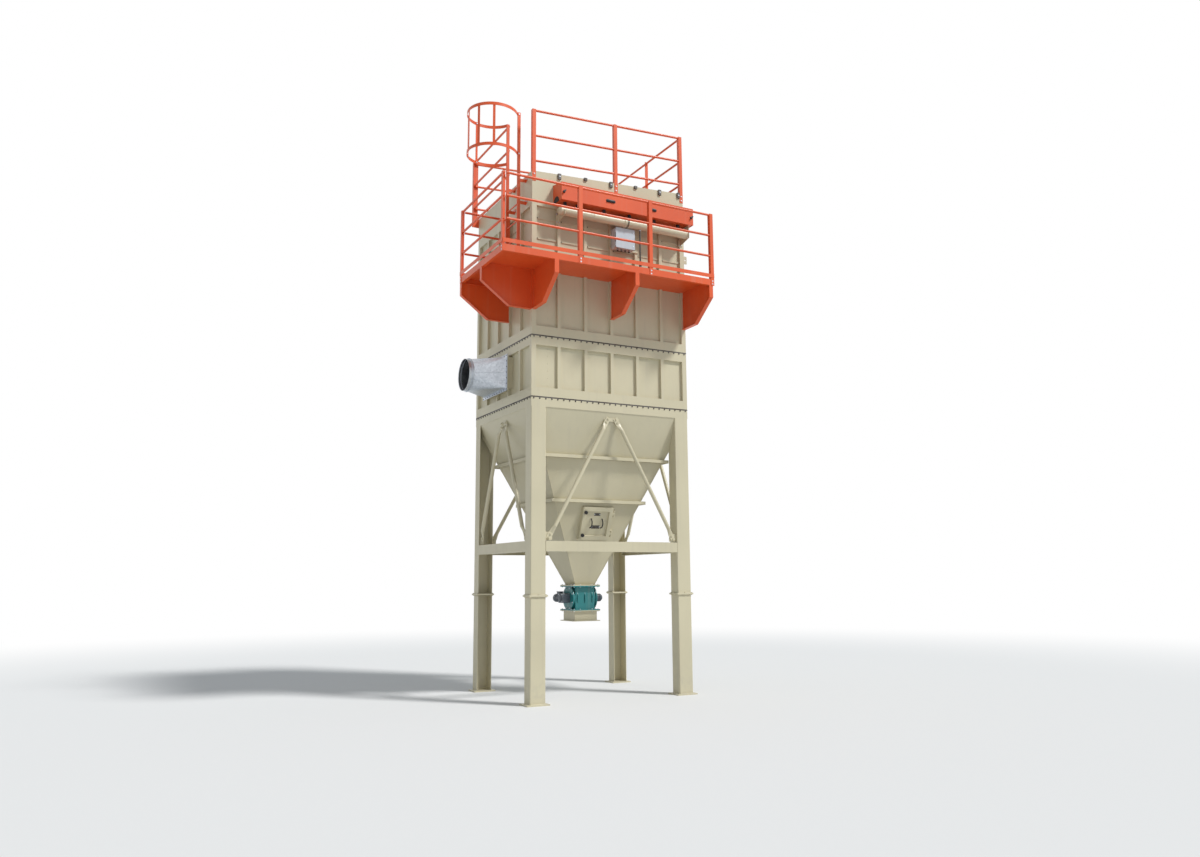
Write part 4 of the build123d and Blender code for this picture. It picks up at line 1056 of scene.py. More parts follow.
@dataclass
class Supports(Assembly):
    """Four folded legs with their splices, tie beams and braces."""

    legs: tuple[str, ...] = ("leg_front_left", "leg_front_right", "leg_rear_left", "leg_rear_right")
    web: float = 0.248
    flange: float = 0.200
    bend: float = 0.016
    bend_share: float = 0.3
    base_reach: float = 0.036
    base_top: float = 0.020
    splice_bottom: float = 1.545
    splice_top: float = 1.569
    ledge: float = 0.012
    bolt_pitch: float = 0.10
    foot_level: float = 2.435
    foot_inset: float = 0.072
    head_level: float = 4.245
    head_half: float = 0.085
    flat_outer: float = -0.030
    flat_inner: float = -0.050
    bolt_shift: float = 0.030
    lug_half: float = 0.060
    lug_sheet: float = 0.010

    def dress(self) -> None:
        """Paint the supports, bolt the splices and braces and weld the feet."""
        braces = [name for name in frame["nodes"] if name.startswith("braces_")]
        self.paint(Slot.CREAM, "tie_beams", *self.legs, *braces)
        seats = [self.leg_seat(leg) for leg in self.legs]
        spots = [spot for seat in seats for spot in self.splice_spots(seat)]
        self.fasten("splice_bolts", Fastener.BOLT, spots, Slot.CREAM)
        levels = (self.base_top, self.splice_bottom, self.splice_top)
        paths = [self.leg_outline(seat, level) for seat in seats for level in levels]
        self.weld("leg_welds", paths)
        low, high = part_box("ring_beam")
        bolts: list[Spot] = []
        beads: list[Ring] = []
        for side in Side:
            face = side.seat(low, high)
            free = side.half(low, high) - (self.web if side.value[0] else self.flange)
            bolts += self.brace_spots(face, free)
            beads += self.lug_beads(face, free)
        self.fasten("brace_bolts", Fastener.HEAVY_BOLT, bolts, Slot.CREAM)
        self.weld("brace_lug_welds", beads, Bead.THIN)

    def leg_seat(self, leg: str) -> Seat:
        """The middle of a leg's web on the floor, with up pointing into the channel.

        Args:
            leg: The leg's node.

        Returns:
            The seat.
        """
        low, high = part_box(leg)
        front = low.y < 0
        inward = Y_AXIS if front else -Y_AXIS
        face = low.y + self.base_reach if front else high.y - self.base_reach
        return Seat(Vector(((low.x + high.x) / 2, face, 0)), inward.cross(Z_AXIS), inward)

    def leg_outline(self, seat: Seat, level: float) -> list[Vector]:
        """The outside of the channel's section at a level, from one flange's edge to the other's.

        Args:
            seat: The leg's seat.
            level: The height.

        Returns:
            The points.
        """
        half = self.web / 2
        soft = self.bend * self.bend_share
        left = [(-half, self.flange), (-half, self.bend), (soft - half, soft), (self.bend - half, 0.0)]
        right = [(-x, y) for x, y in reversed(left)]
        return [seat.at(x, y, level) for x, y in left + right]

    def splice_spots(self, seat: Seat) -> list[Spot]:
        """Bolt heads on the splice's ledge and nuts under it.

        Args:
            seat: The leg's seat.

        Returns:
            The spots.
        """
        across = [(x, -self.ledge) for x in spread(-self.web / 2, self.web / 2, self.bolt_pitch)]
        along = spread(self.bolt_pitch, self.flange - self.ledge, self.bolt_pitch)
        sides = [(side * (self.web / 2 + self.ledge), y) for side in HANDS for y in along]
        return seat.through(across + sides, self.splice_top, self.splice_bottom)

    def brace_spots(self, face: Seat, free: float) -> list[Spot]:
        """Two bolts through each flattened end of the braces of one side, with their nuts.

        Args:
            face: The ring beam's side.
            free: Half the space between the legs.

        Returns:
            The spots.
        """
        places: list[Vector] = []
        for hand in HANDS:
            foot = Vector((hand * (free - self.foot_inset), self.foot_level))
            head = Vector((hand * self.head_half, self.head_level))
            step = (head - foot).normalized() * self.bolt_shift
            places += (foot - step, foot + step, head - step, head + step)
        return face.through(places, self.flat_outer, self.flat_inner)

    def lug_beads(self, face: Seat, free: float) -> list[Ring]:
        """Upright beads where the braces' lugs meet the legs.

        Args:
            face: The ring beam's side.
            free: Half the space between the legs.

        Returns:
            The ends of each bead.
        """
        ends = (self.foot_level - self.lug_half, self.foot_level + self.lug_half)
        depths = (self.flat_outer - self.lug_sheet, self.flat_inner)
        return [[face.at(hand * free, z, depth) for z in ends] for hand in HANDS for depth in depths]


@dataclass
class Casing(Assembly):
    """Ring beam, lower and upper casing and plenum, with their joints."""

    strip_height: float = 0.020
    strip_reach: float = 0.0015
    strip_root: float = 0.002
    screw_drop: float = 0.022
    screw_pitch: float = 0.10
    bar_face: float = -0.031
    bar_middle: float = 0.0125
    bar_rise: float = 0.330
    bar_margin: float = 0.024
    rivet_x: float = -1.106
    rivet_pitch: float = 0.11
    rivet_margin: float = 0.19

    def dress(self) -> None:
        """Paint the walls and add joint strips, screws and rivets."""
        self.paint(Slot.CREAM, "ring_beam", "lower_casing", "upper_casing", "plenum")
        self.low, self.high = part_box("lower_casing")
        strips = Mesher()
        screws: list[Spot] = []
        for level in (self.low.z, self.high.z):
            self.add_strip(strips, level)
            screws += self.joint_spots(level - self.screw_drop)
        self.deliver("joint_strips", strips, Slot.STEEL)
        self.fasten("joint_screws", Fastener.BOLT, screws, Slot.STEEL)
        self.fasten("panel_seam_screws", Fastener.SCREW, self.bar_spots(), Slot.STEEL)
        self.fasten("panel_rivets", Fastener.RIVET, self.rivet_spots(), Slot.CREAM)

    def add_strip(self, mesher: Mesher, level: float) -> None:
        """A thin dark sealing strip round the casing at a level.

        Args:
            mesher: The mesh that it goes into.
            level: Height of the strip's middle.
        """
        rings = []
        half, root, top = self.strip_height / 2, -self.strip_root, self.strip_reach
        for reach, z in ((root, -half), (top, -half), (top, half), (root, half)):
            ends = (self.low.x - reach, self.low.y - reach, self.high.x + reach, self.high.y + reach)
            rings.append([Vector((x, y, level + z)) for x, y in rectangle(*ends)])
        mesher.loft(rings, closed=True)

    def joint_spots(self, level: float) -> list[Spot]:
        """Screws in a row round the casing at a level.

        Args:
            level: The row's height.

        Returns:
            The spots.
        """
        spots = []
        for side in Side:
            face = side.seat(self.low, self.high)
            half = side.half(self.low, self.high) - PANELS.corner / 2
            spots += [face.spot(x, level) for x in spread(-half, half, self.screw_pitch)]
        return spots

    def bar_spots(self) -> list[Spot]:
        """A screw at the left end of each seam bar between the plenum's ribs.

        Returns:
            The spots.
        """
        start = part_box("plenum")[0].z + self.bar_middle
        spots = []
        for side in Side:
            face = side.seat(self.low, self.high)
            half = side.half(self.low, self.high)
            bays = PANELS.front_bays if side.value[0] else PANELS.side_bays
            for bay in range(bays):
                left, _ = PANELS.gap(-half, half, bay, bays)
                for level in (start, start + self.bar_rise):
                    spots.append(face.spot(left + self.bar_margin, level, self.bar_face))
        return spots

    def rivet_spots(self) -> list[Spot]:
        """The riveted sheet seam in the first front panel of both casings.

        Returns:
            The spots.
        """
        spots = []
        for node in ("lower_casing", "upper_casing"):
            low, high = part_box(node)
            face = Side.FRONT.seat(low, high)
            levels = spread(low.z + self.rivet_margin, high.z - self.rivet_margin, self.rivet_pitch)
            spots += [face.spot(self.rivet_x, z, -PANELS.inset) for z in levels]
        return spots


@dataclass
class Roof(Assembly):
    """Single-fall roof with its clamps, air outlet and railings."""

    thickness: float = 0.045
    rise: float = 0.150
    seam_places: tuple[float, ...] = (-0.7, 0.0, 0.7)
    seam: Plate = Plate(0.060, 0.0, 0.003, 0.002, 0.001)
    seam_margin: float = 0.010
    rivet_half: float = 0.018
    rivet_margin: float = 0.06
    rivet_pitch: float = 0.15
    clamp_reach: float = 0.026
    clamp_half: float = 0.025
    clamp_sheet: float = 0.008
    clamp_bolt_drop: float = 0.048
    tall_places: tuple[float, ...] = (1.0, 3.0, 5.0, 5.8)
    low_places: tuple[float, ...] = (2.0, 4.0)
    front_posts: tuple[float, ...] = (-1.370, 0.100, 1.370)
    post_face: float = 0.006
    post_width: float = 0.060
    post_bolt_drops: Pair = (0.045, 0.120)
    side_post_drop: float = 0.003
    outlet_ring: float = 0.270
    outlet_sheet: float = 0.008
    outlet_bolts: int = 12

    def top(self, x: float) -> float:
        """Height of the roof's upper face at a place along the front."""
        share = (x - self.low.x) / (self.high.x - self.low.x)
        return self.low.z + self.thickness + self.rise * share

    def dress(self) -> None:
        """Paint the roof and add its seams and fixings."""
        self.low, self.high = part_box("roof")
        self.paint(Slot.CREAM, "roof", "air_outlet")
        self.paint(Slot.STEEL, "roof_clamps")
        rails = [name for name in frame["nodes"] if name.startswith("roof_railing_")]
        self.paint(Slot.ORANGE, *rails)
        self.add_seams()
        self.add_clamp_bolts()
        self.add_post_bolts()
        self.add_outlet_bolts()

    def add_seams(self) -> None:
        """Low riveted seam strips that run from front to rear over the roof."""
        slope = Vector((self.high.x - self.low.x, 0, self.rise)).normalized()
        half = (self.high.y - self.low.y) / 2
        strip = replace(self.seam, height=2 * half - 2 * self.seam_margin)
        seats = [Seat(Vector((x, 0, self.top(x))), slope, Y_AXIS) for x in self.seam_places]
        self.pads("roof_seams", Slot.CREAM, seats, strip)
        places = spread(-half + self.rivet_margin, half - self.rivet_margin, self.rivet_pitch)
        pairs = [(side * self.rivet_half, y) for y in places for side in HANDS]
        spots = [spot for seat in seats for spot in seat.spots(pairs, strip.depth)]
        self.fasten("roof_rivets", Fastener.RIVET, spots, Slot.CREAM)

    def clamp_top(self, place: float) -> Vector:
        """Middle of a clamp's upper face on the centre line, by its place in bays."""
        x = self.low.x + place * (self.high.x - self.low.x) / PANELS.front_bays
        return Vector((x, 0, self.top(x - self.clamp_half) + self.clamp_sheet))

    def add_clamp_bolts(self) -> None:
        """A bolt in the face of each tall clamp, and one on top of every clamp."""
        spots = []
        reach = self.high.y + self.clamp_reach
        for side in HANDS:
            for place in self.tall_places + self.low_places:
                top = self.clamp_top(place)
                spots.append((top + Y_AXIS * side * self.high.y, Z_AXIS))
                if place in self.tall_places:
                    spots.append((Vector((top.x, side * reach, top.z - self.clamp_bolt_drop)), Y_AXIS * side))
        self.fasten("clamp_bolts", Fastener.BOLT, spots)

    def add_post_bolts(self) -> None:
        """Two bolts in the foot of each roof post."""
        spots = []
        front, rear = self.low.y - self.post_face, self.high.y + self.post_face
        for x in self.front_posts:
            for drop in self.post_bolt_drops:
                level = self.top(x - self.post_width) - drop
                spots.append((Vector((x, front, level)), -Y_AXIS))
                spots.append((Vector((x, rear, level)), Y_AXIS))
        for drop in self.post_bolt_drops:
            level = self.top(self.high.x) - self.side_post_drop - drop
            spots.append((Vector((self.high.x + self.post_face, 0, level)), X_AXIS))
        self.fasten("roof_post_bolts", Fastener.BOLT, spots)

    def add_outlet_bolts(self) -> None:
        """Bolts that hold the air outlet's inner ring on the wall."""
        low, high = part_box("air_outlet")
        middle = (low + high) / 2
        y = self.high.y + self.outlet_sheet
        places = circle(self.outlet_ring, self.outlet_bolts, 0.5)
        spots = [(Vector((middle.x + x, y, middle.z + z)), Y_AXIS) for x, z in places]
        self.fasten("outlet_ring_bolts", Fastener.BOLT, spots)


@dataclass
class Inlet(Assembly):
    """Galvanised square-to-round inlet on the left side."""

    flange_sheet: float = 0.008
    flange_width: float = 0.045
    width: float = 0.940
    height: float = 0.500
    length: float = 0.470
    radius: float = 0.260
    sheet: float = 0.003
    screw_pitch: float = 0.095
    seam_width: float = 0.012
    seam_height: float = 0.003
    ring_depths: Pair = (0.015, 0.055)
    ring_section: Profile = ((0.0, 0.0), (0.0, -0.012), (-0.010, -0.010), (-0.010, -0.002))

    def dress(self) -> None:
        """Paint the inlet and add its flange screws, seams and rubber rings."""
        self.paint(Slot.CREAM, "inlet_port")
        self.paint(Slot.ZINC, "inlet_transition")
        low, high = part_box("inlet_transition")
        middle = (low + high) / 2
        self.face = Side.LEFT.at(high.x, middle.y, middle.z)
        half_x = (self.width + self.flange_width) / 2
        half_y = (self.height + self.flange_width) / 2
        places = rectangle_spots(half_x, half_y, self.screw_pitch)
        spots = self.face.through(places, self.flange_sheet, -self.flange_sheet)
        self.fasten("inlet_flange_screws", Fastener.SCREW, spots, Slot.STEEL)
        self.add_seams()
        self.add_rings()

    def add_seams(self) -> None:
        """The folded mid-seams on the front and rear of the transition."""
        seams = Mesher()
        for side in HANDS:
            start = self.face.at(side * self.width / 2, 0, self.flange_sheet)
            end = self.face.at(side * self.radius, 0, self.length)
            run = (end - start).normalized()
            seams.bar(start, end, run.cross(self.face.up) * -side, self.seam_width, self.seam_height)
        self.deliver("inlet_side_seams", seams, Slot.ZINC)

    def add_rings(self) -> None:
        """Two black rubber rings inside the collar."""
        profile = around(self.radius - self.sheet, self.ring_section)
        seats = [self.face.moved(0, 0, self.length + depth) for depth in self.ring_depths]
        self.turn("inlet_rubber_rings", Slot.RUBBER, seats, profile, Facets.DUCT, True)


@dataclass
class Hood(Assembly):
    """Orange hood over the pulse valves, with its grips, end flap, seal and underside."""

    axis: Vector
    tank_radius: float
    stubs: tuple[float, ...]
    sheet: float = 0.004
    grip_level: float = 0.125
    wide_grips: Pair = (-0.174, 0.595)
    wide_grip: Plate = Plate(0.150, 0.036, 0.024, 0.0175, 0.008)
    wide_grip_foot: Plate = Plate(0.172, 0.052, 0.004, 0.025, 0.002)
    end_grips: Pair = (-1.000, 1.355)
    end_grip: Plate = Plate(0.066, 0.024, 0.016, 0.0115, 0.005)
    end_grip_lift: float = 0.020
    end_grip_turn: float = 50.0
    stem: Profile = ((0.022, 0.0), (0.022, 0.008), (0.014, 0.012), (0.012, 0.022))
    flap_shift: float = -0.035
    flap_rise: float = 0.004
    flap_layers: tuple[Size, ...] = ((0.100, 0.0, 0.004), (0.088, 0.004, 0.002))
    flap_step: float = 0.15
    seal_lift: float = 0.002
    seal_width: float = 0.010
    seal_height: float = 0.007
    underside_rise: float = 0.0075
    underside_sheet: float = 0.003
    stub_hole: float = 0.030
    sleeve_sink: float = 0.008
    sleeve_radii: Pair = (0.0235, 0.0285)

    def dress(self) -> None:
        """Paint the hood and add its parts."""
        self.paint(Slot.ORANGE, "valve_cover")
        self.low, self.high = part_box("valve_cover")
        self.add_grips()
        self.add_flap()
        self.add_seal()
        self.add_underside()

    def add_grips(self) -> None:
        """Black grips on the hood's front."""
        face = Side.FRONT.at(0, self.low.y, self.low.z + self.grip_level)
        grips = Mesher()
        for x in self.wide_grips:
            grips.pad(face.moved(x, 0), self.wide_grip)
            grips.pad(face.moved(x, 0), self.wide_grip_foot)
        for x in self.end_grips:
            grips.lathe(face.moved(x, 0), self.stem, Facets.KNOB)
            grips.pad(face.moved(x, 0, self.end_grip_lift).turned(self.end_grip_turn), self.end_grip)
        self.deliver("cover_grips", grips, Slot.RUBBER)

    def add_flap(self) -> None:
        """A rubber flap over the arch in the hood's left end."""
        end = Side.LEFT.seat(self.low, self.high).moved(self.flap_shift, self.low.z + self.flap_rise)
        flap = Mesher()
        for radius, start, depth in self.flap_layers:
            turns = spread(0, math.pi, self.flap_step)
            arch = [(radius * math.cos(turn), radius * math.sin(turn)) for turn in turns]
            flap.sheet(end.moved(0, 0, start), [arch], depth)
        self.deliver("cover_end_flap", flap, Slot.RUBBER)

    def add_seal(self) -> None:
        """A seal between the wall and the hood's top edge."""
        seal = Mesher()
        level = self.high.z + self.seal_lift
        start, end = (Vector((x, self.high.y, level)) for x in (self.low.x, self.high.x))
        seal.bar(start, end, -Y_AXIS, self.seal_width, self.seal_height)
        self.deliver("cover_seal", seal, Slot.RUBBER)

    def add_underside(self) -> None:
        """Sheet that closes the hood below, with a hole and a rubber sleeve for the stub of each valve."""
        level = self.low.z + self.underside_rise
        tank_top = self.axis.z + self.tank_radius - self.sleeve_sink
        height = level - tank_top
        inner, outer = self.sleeve_radii
        front_left = (self.low.x + self.sheet, self.low.y + self.sheet)
        loops = [rectangle(*front_left, self.high.x - self.sheet, self.high.y)]
        sleeves = Mesher()
        for stub in self.stubs:
            loops.append([(stub + x, self.axis.y + y) for x, y in circle(self.stub_hole, Facets.SLEEVE)])
            seat = upward(stub, self.axis.y, tank_top)
            profile = [(inner, 0.0), (outer, 0.0), (outer, height), (inner, height)]
            sleeves.lathe(seat, profile, Facets.SLEEVE, closed=True)
        sheet = Mesher()
        sheet.sheet(upward(0, 0, level), loops, self.underside_sheet)
        self.deliver("cover_underside", sheet, Slot.ORANGE)
        self.deliver("stub_sleeves", sleeves, Slot.RUBBER)


@dataclass
class ControlBox(Assembly):
    """Grey enamelled box under the tank, on two rails."""

    wall: float
    x: float = 0.172
    width: float = 0.350
    height: float = 0.335
    depth: float = 0.150
    bottom: float = 7.040
    back: float = 0.015
    seal_back: float = 0.0245
    seal_gap: float = 0.006
    seal_depth: float = 0.0130
    seal_corner: float = 0.007
    seal_bevel: float = 0.001
    lock_inset: float = 0.028
    lock: Profile = ((0.011, 0.0), (0.011, 0.003), (0.009, 0.005))
    lock_slot: Plate = Plate(0.014, 0.0035, 0.003, 0.0015, 0.0008)
    lock_slot_lift: float = 0.004
    hinge: Profile = ((0.006, 0.0), (0.006, 0.050))
    hinge_shift: Size = (-0.002, -0.025, -0.018)
    gland_nut: Profile = ((0.0175, 0.0), (0.0175, 0.009))
    gland_cap: Profile = ((0.0165, 0.0), (0.0165, 0.008), (0.011, 0.013))
    gland_cap_lift: float = 0.018
    glands: int = 4
    rail_x: float = 2.800 / 12
    rail_inset: float = 0.030
    rail: Plate = Plate(0.5237, 0.032, 0.0165, 0.001, 0.0008)

    def dress(self) -> None:
        """Paint the box and add its lid seal, locks, hinges, cable glands and rail covers."""
        self.paint(Slot.ENAMEL, "control_box")
        width, height, depth = self.width, self.height, self.depth
        face = Side.FRONT.at(self.x, self.wall - self.back, self.bottom + height / 2)
        gap = self.seal_gap
        seal = Plate(width - gap, height - gap, self.seal_depth, self.seal_corner, self.seal_bevel)
        self.pads("box_lid_seal", Slot.RUBBER, [face.moved(0, 0, depth - self.seal_back)], seal)
        locks = Mesher()
        right, up, out = self.hinge_shift
        for y in (-height / 3, height / 3):
            lock = face.moved(width / 2 - self.lock_inset, y, depth)
            locks.lathe(lock, self.lock, Facets.KNOB)
            locks.pad(lock.moved(0, 0, self.lock_slot_lift), self.lock_slot)
            hinge = upward(*face.at(right - width / 2, y + up, depth + out))
            locks.lathe(hinge, self.hinge, Facets.PIN)
        self.deliver("box_locks", locks, Slot.ZINC)
        glands = Mesher()
        for step in range(self.glands):
            across = self.x + (step - (self.glands - 1) / 2) * width / (self.glands + 1)
            seat = Seat(Vector((across, self.wall - self.back - depth / 2, self.bottom)), X_AXIS, -Y_AXIS)
            glands.lathe(seat, self.gland_nut, Facets.HEXAGON)
            glands.lathe(seat.moved(0, 0, self.gland_cap_lift), self.gland_cap, Facets.GLAND)
        self.deliver("cable_glands", glands, Slot.RUBBER)
        levels = [self.bottom + height / 2 + side * (height / 2 - self.rail_inset) for side in HANDS]
        rails = [Side.FRONT.at(self.rail_x, self.wall, level) for level in levels]
        self.pads("box_rail_covers", Slot.CREAM, rails, self.rail)


@dataclass
class PulseAir(Assembly):
    """Header tank with its pulse valves and drain, the hood over it and the control box."""

    wall: float = -1.150
    tank_radius: float = 0.067
    weld_margin: float = 0.026
    weld_section: Profile = (
        (-0.002, -0.004), (0.002, -0.003), (0.003, 0.0), (0.002, 0.003), (-0.002, 0.004))
    coupling_x: float = 0.170
    band_start: float = 0.0275
    band_section: Profile = (
        (-0.001, 0.0), (0.002, 0.0), (0.003, 0.008), (0.003, 0.022), (0.002, 0.030), (-0.001, 0.030))
    seal_lifts: Pair = (0.030, 0.0465)
    seal_section: Profile = ((-0.001, 0.0), (0.006, 0.0), (0.006, 0.005), (-0.001, 0.005))
    bracket_places: Pair = (-0.957, 1.332)
    bracket_drop: float = 0.055
    bracket_foot: Plate = Plate(0.070, 0.180, 0.006, 0.006, 0.001)
    bracket_bolts: Pair = (0.022, 0.065)
    valve_top: float = 7.762
    valve_places: tuple[float, ...] = (-0.9233, -0.7, -0.2333, 0.2333, 0.7, 1.1667)
    lid_screws: int = 6
    lid_screw_radius: float = 0.033
    coil_stem: Profile = ((0.014, 0.0), (0.014, 0.010), (0.010, 0.012), (0.010, 0.020))
    coil: Plate = Plate(0.032, 0.040, 0.036, 0.005, 0.003)
    coil_lift: float = 0.018
    drain_x: float = 0.430
    union: Profile = ((0.019, 0.0), (0.021, 0.002), (0.021, 0.014), (0.019, 0.016))
    union_rises: Pair = (0.190, 0.255)
    union_drop: float = 0.020
    spindle_reach: float = 0.022
    spindle_rise: float = 0.232
    spindle: Profile = ((0.009, 0.0), (0.009, 0.012), (0.006, 0.013), (0.006, 0.018))
    lever: Plate = Plate(0.095, 0.016, 0.004, 0.0078, 0.0015)
    lever_shift: Pair = (0.035, 0.012)

    def dress(self) -> None:
        """Paint the pulse-air line and add its small parts."""
        self.paint(Slot.CREAM, "header_tank", "header_brackets")
        self.paint(Slot.CAST, "pulse_valves")
        self.paint(Slot.STEEL, "tank_drain")
        low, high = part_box("header_tank")
        self.axis = (low + high) / 2
        self.tank_ends = (low.x, high.x)
        Hood(self.shop, self.axis, self.tank_radius, self.valve_places).dress()
        self.add_tank_seams()
        self.add_bracket_feet()
        self.add_valve_parts()
        self.add_drain_parts()
        ControlBox(self.shop, self.wall).dress()

    def on_tank(self, x: float) -> Seat:
        """A seat on the tank's axis that faces along it."""
        return Side.RIGHT.at(x, self.axis.y, self.axis.z)

    def add_tank_seams(self) -> None:
        """Weld rings of the tank, and the clamp band of its coupling with two seals."""
        left, right = self.tank_ends
        middles = ((left + self.coupling_x) / 2, (right + self.coupling_x) / 2)
        welds = [self.on_tank(x) for x in (left + self.weld_margin, right - self.weld_margin, *middles)]
        band = self.on_tank(self.coupling_x - self.band_start)
        seals = [band.moved(0, 0, lift) for lift in self.seal_lifts]
        for name, slot, seats, section in (
            ("tank_weld_rings", Slot.CREAM, welds, self.weld_section),
            ("coupling_band", Slot.CREAM, [band], self.band_section),
            ("coupling_seals", Slot.RUBBER, seals, self.seal_section),
        ):
            self.turn(name, slot, seats, around(self.tank_radius, section), Facets.DRUM, True)

    def add_bracket_feet(self) -> None:
        """Foot plates of the header's brackets with four bolts each."""
        level = self.axis.z - self.bracket_drop
        seats = [Side.FRONT.at(x, self.wall, level) for x in self.bracket_places]
        self.pads("header_bracket_feet", Slot.CREAM, seats, self.bracket_foot)
        places, depth = corners(*self.bracket_bolts), self.bracket_foot.depth
        spots = [spot for seat in seats for spot in seat.spots(places, depth)]
        self.fasten("header_bracket_bolts", Fastener.BOLT, spots)

    def add_valve_parts(self) -> None:
        """Lid screws and pilot coils of the pulse valves."""
        spots = []
        coils = Mesher()
        for place in self.valve_places:
            seat = upward(place, self.axis.y, self.valve_top)
            spots += seat.spots(circle(self.lid_screw_radius, self.lid_screws))
            coils.lathe(seat, self.coil_stem, Facets.STEM)
            coils.pad(seat.moved(0, 0, self.coil_lift), self.coil)
        self.fasten("pulse_valve_screws", Fastener.SCREW, spots)
        self.deliver("pilot_coils", coils, Slot.RUBBER)

    def add_drain_parts(self) -> None:
        """Unions and lever of the tank's drain valve."""
        low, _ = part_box("tank_drain")
        levels = [low.z + rise for rise in self.union_rises]
        levels.append(self.axis.z - self.tank_radius - self.union_drop)
        seats = [upward(self.drain_x, self.axis.y, level) for level in levels]
        self.turn("drain_unions", Slot.ZINC, seats, self.union, Facets.HEXAGON, False)
        foot = Vector((self.drain_x, self.axis.y - self.spindle_reach, low.z + self.spindle_rise))
        spindle = Seat(foot, X_AXIS, Z_AXIS)
        across, out = self.lever_shift
        lever = Mesher()
        lever.lathe(spindle, self.spindle, Facets.SPINDLE)
        lever.pad(spindle.moved(across, 0, out), self.lever)
        self.deliver("drain_lever", lever, Slot.ORANGE)


class TreadTree:
    """The tree that covers a rectangle of floor with raised lozenges, turned this way and that."""

    rise: float = 0.002
    length_share: float = 0.80
    width_share: float = 0.24
    top_share: float = 0.12

    def __init__(self) -> None:
        """Build the tree."""
        counts = {"Columns": "Int", "Rows": "Int"}
        lengths = {"Pitch": "Float", "Length": "Float", "Width": "Float", "Rise": "Float"}
        tree = ShapeTree("tread_tree", {**counts, **lengths})
        pitch = tree.given("Pitch")
        grid_values = {
            "Size X": (tree.given("Columns") - 1.0) * pitch,
            "Size Y": (tree.given("Rows") - 1.0) * pitch,
            "Vertices X": tree.given("Columns"),
            "Vertices Y": tree.given("Rows"),
        }
        grid = tree.out("GeometryNodeMeshGrid", grid_values)
        spot = tree.node("ShaderNodeSeparateXYZ", {0: tree.out("GeometryNodeInputPosition")})
        cell = [tree.math("ROUND", Wire(tree, spot.outputs[axis]) / pitch + 0.25, 0.0) for axis in (0, 1)]
        odd = tree.math("FLOORED_MODULO", cell[0] + cell[1], 2.0)
        turn = tree.out("ShaderNodeCombineXYZ", {"Z": (odd - 0.5) * math.radians(90)})
        cone_values = {"Vertices": 4, "Radius Top": self.top_share, "Radius Bottom": 0.5, "Depth": 1.0}
        cone = tree.out("GeometryNodeMeshCone", cone_values)
        lengths = {"X": tree.given("Length"), "Y": tree.given("Width"), "Z": tree.given("Rise")}
        size = tree.out("ShaderNodeCombineXYZ", lengths)
        lozenge = tree.out("GeometryNodeTransform", {0: cone, "Scale": size})
        row = {"Points": grid, "Instance": lozenge, "Rotation": turn}
        placed = tree.out("GeometryNodeInstanceOnPoints", row)
        carried = {"Points": tree.given("Geometry"), "Instance": placed}
        tree.close(tree.out("GeometryNodeInstanceOnPoints", carried))
        self.tree = tree

    def grow(self, low: Vector, high: Vector, pitch: float, material: Material) -> Mesh:
        """Cover a rectangle of floor.

        Args:
            low: Its lower left corner.
            high: Its upper right corner, at the floor's level.
            pitch: Distance between two lozenges.
            material: The finish.

        Returns:
            The lozenges as one mesh.
        """
        span = high - low
        sizes = {
            "Columns": int(span.x / pitch),
            "Rows": int(span.y / pitch),
            "Pitch": pitch,
            "Length": pitch * self.length_share,
            "Width": pitch * self.width_share,
            "Rise": self.rise,
        }
        middle = Vector(((low.x + high.x) / 2, (low.y + high.y) / 2, high.z))
        return self.tree.grow(spot_mesh([(middle, Z_AXIS)]), sizes, material)


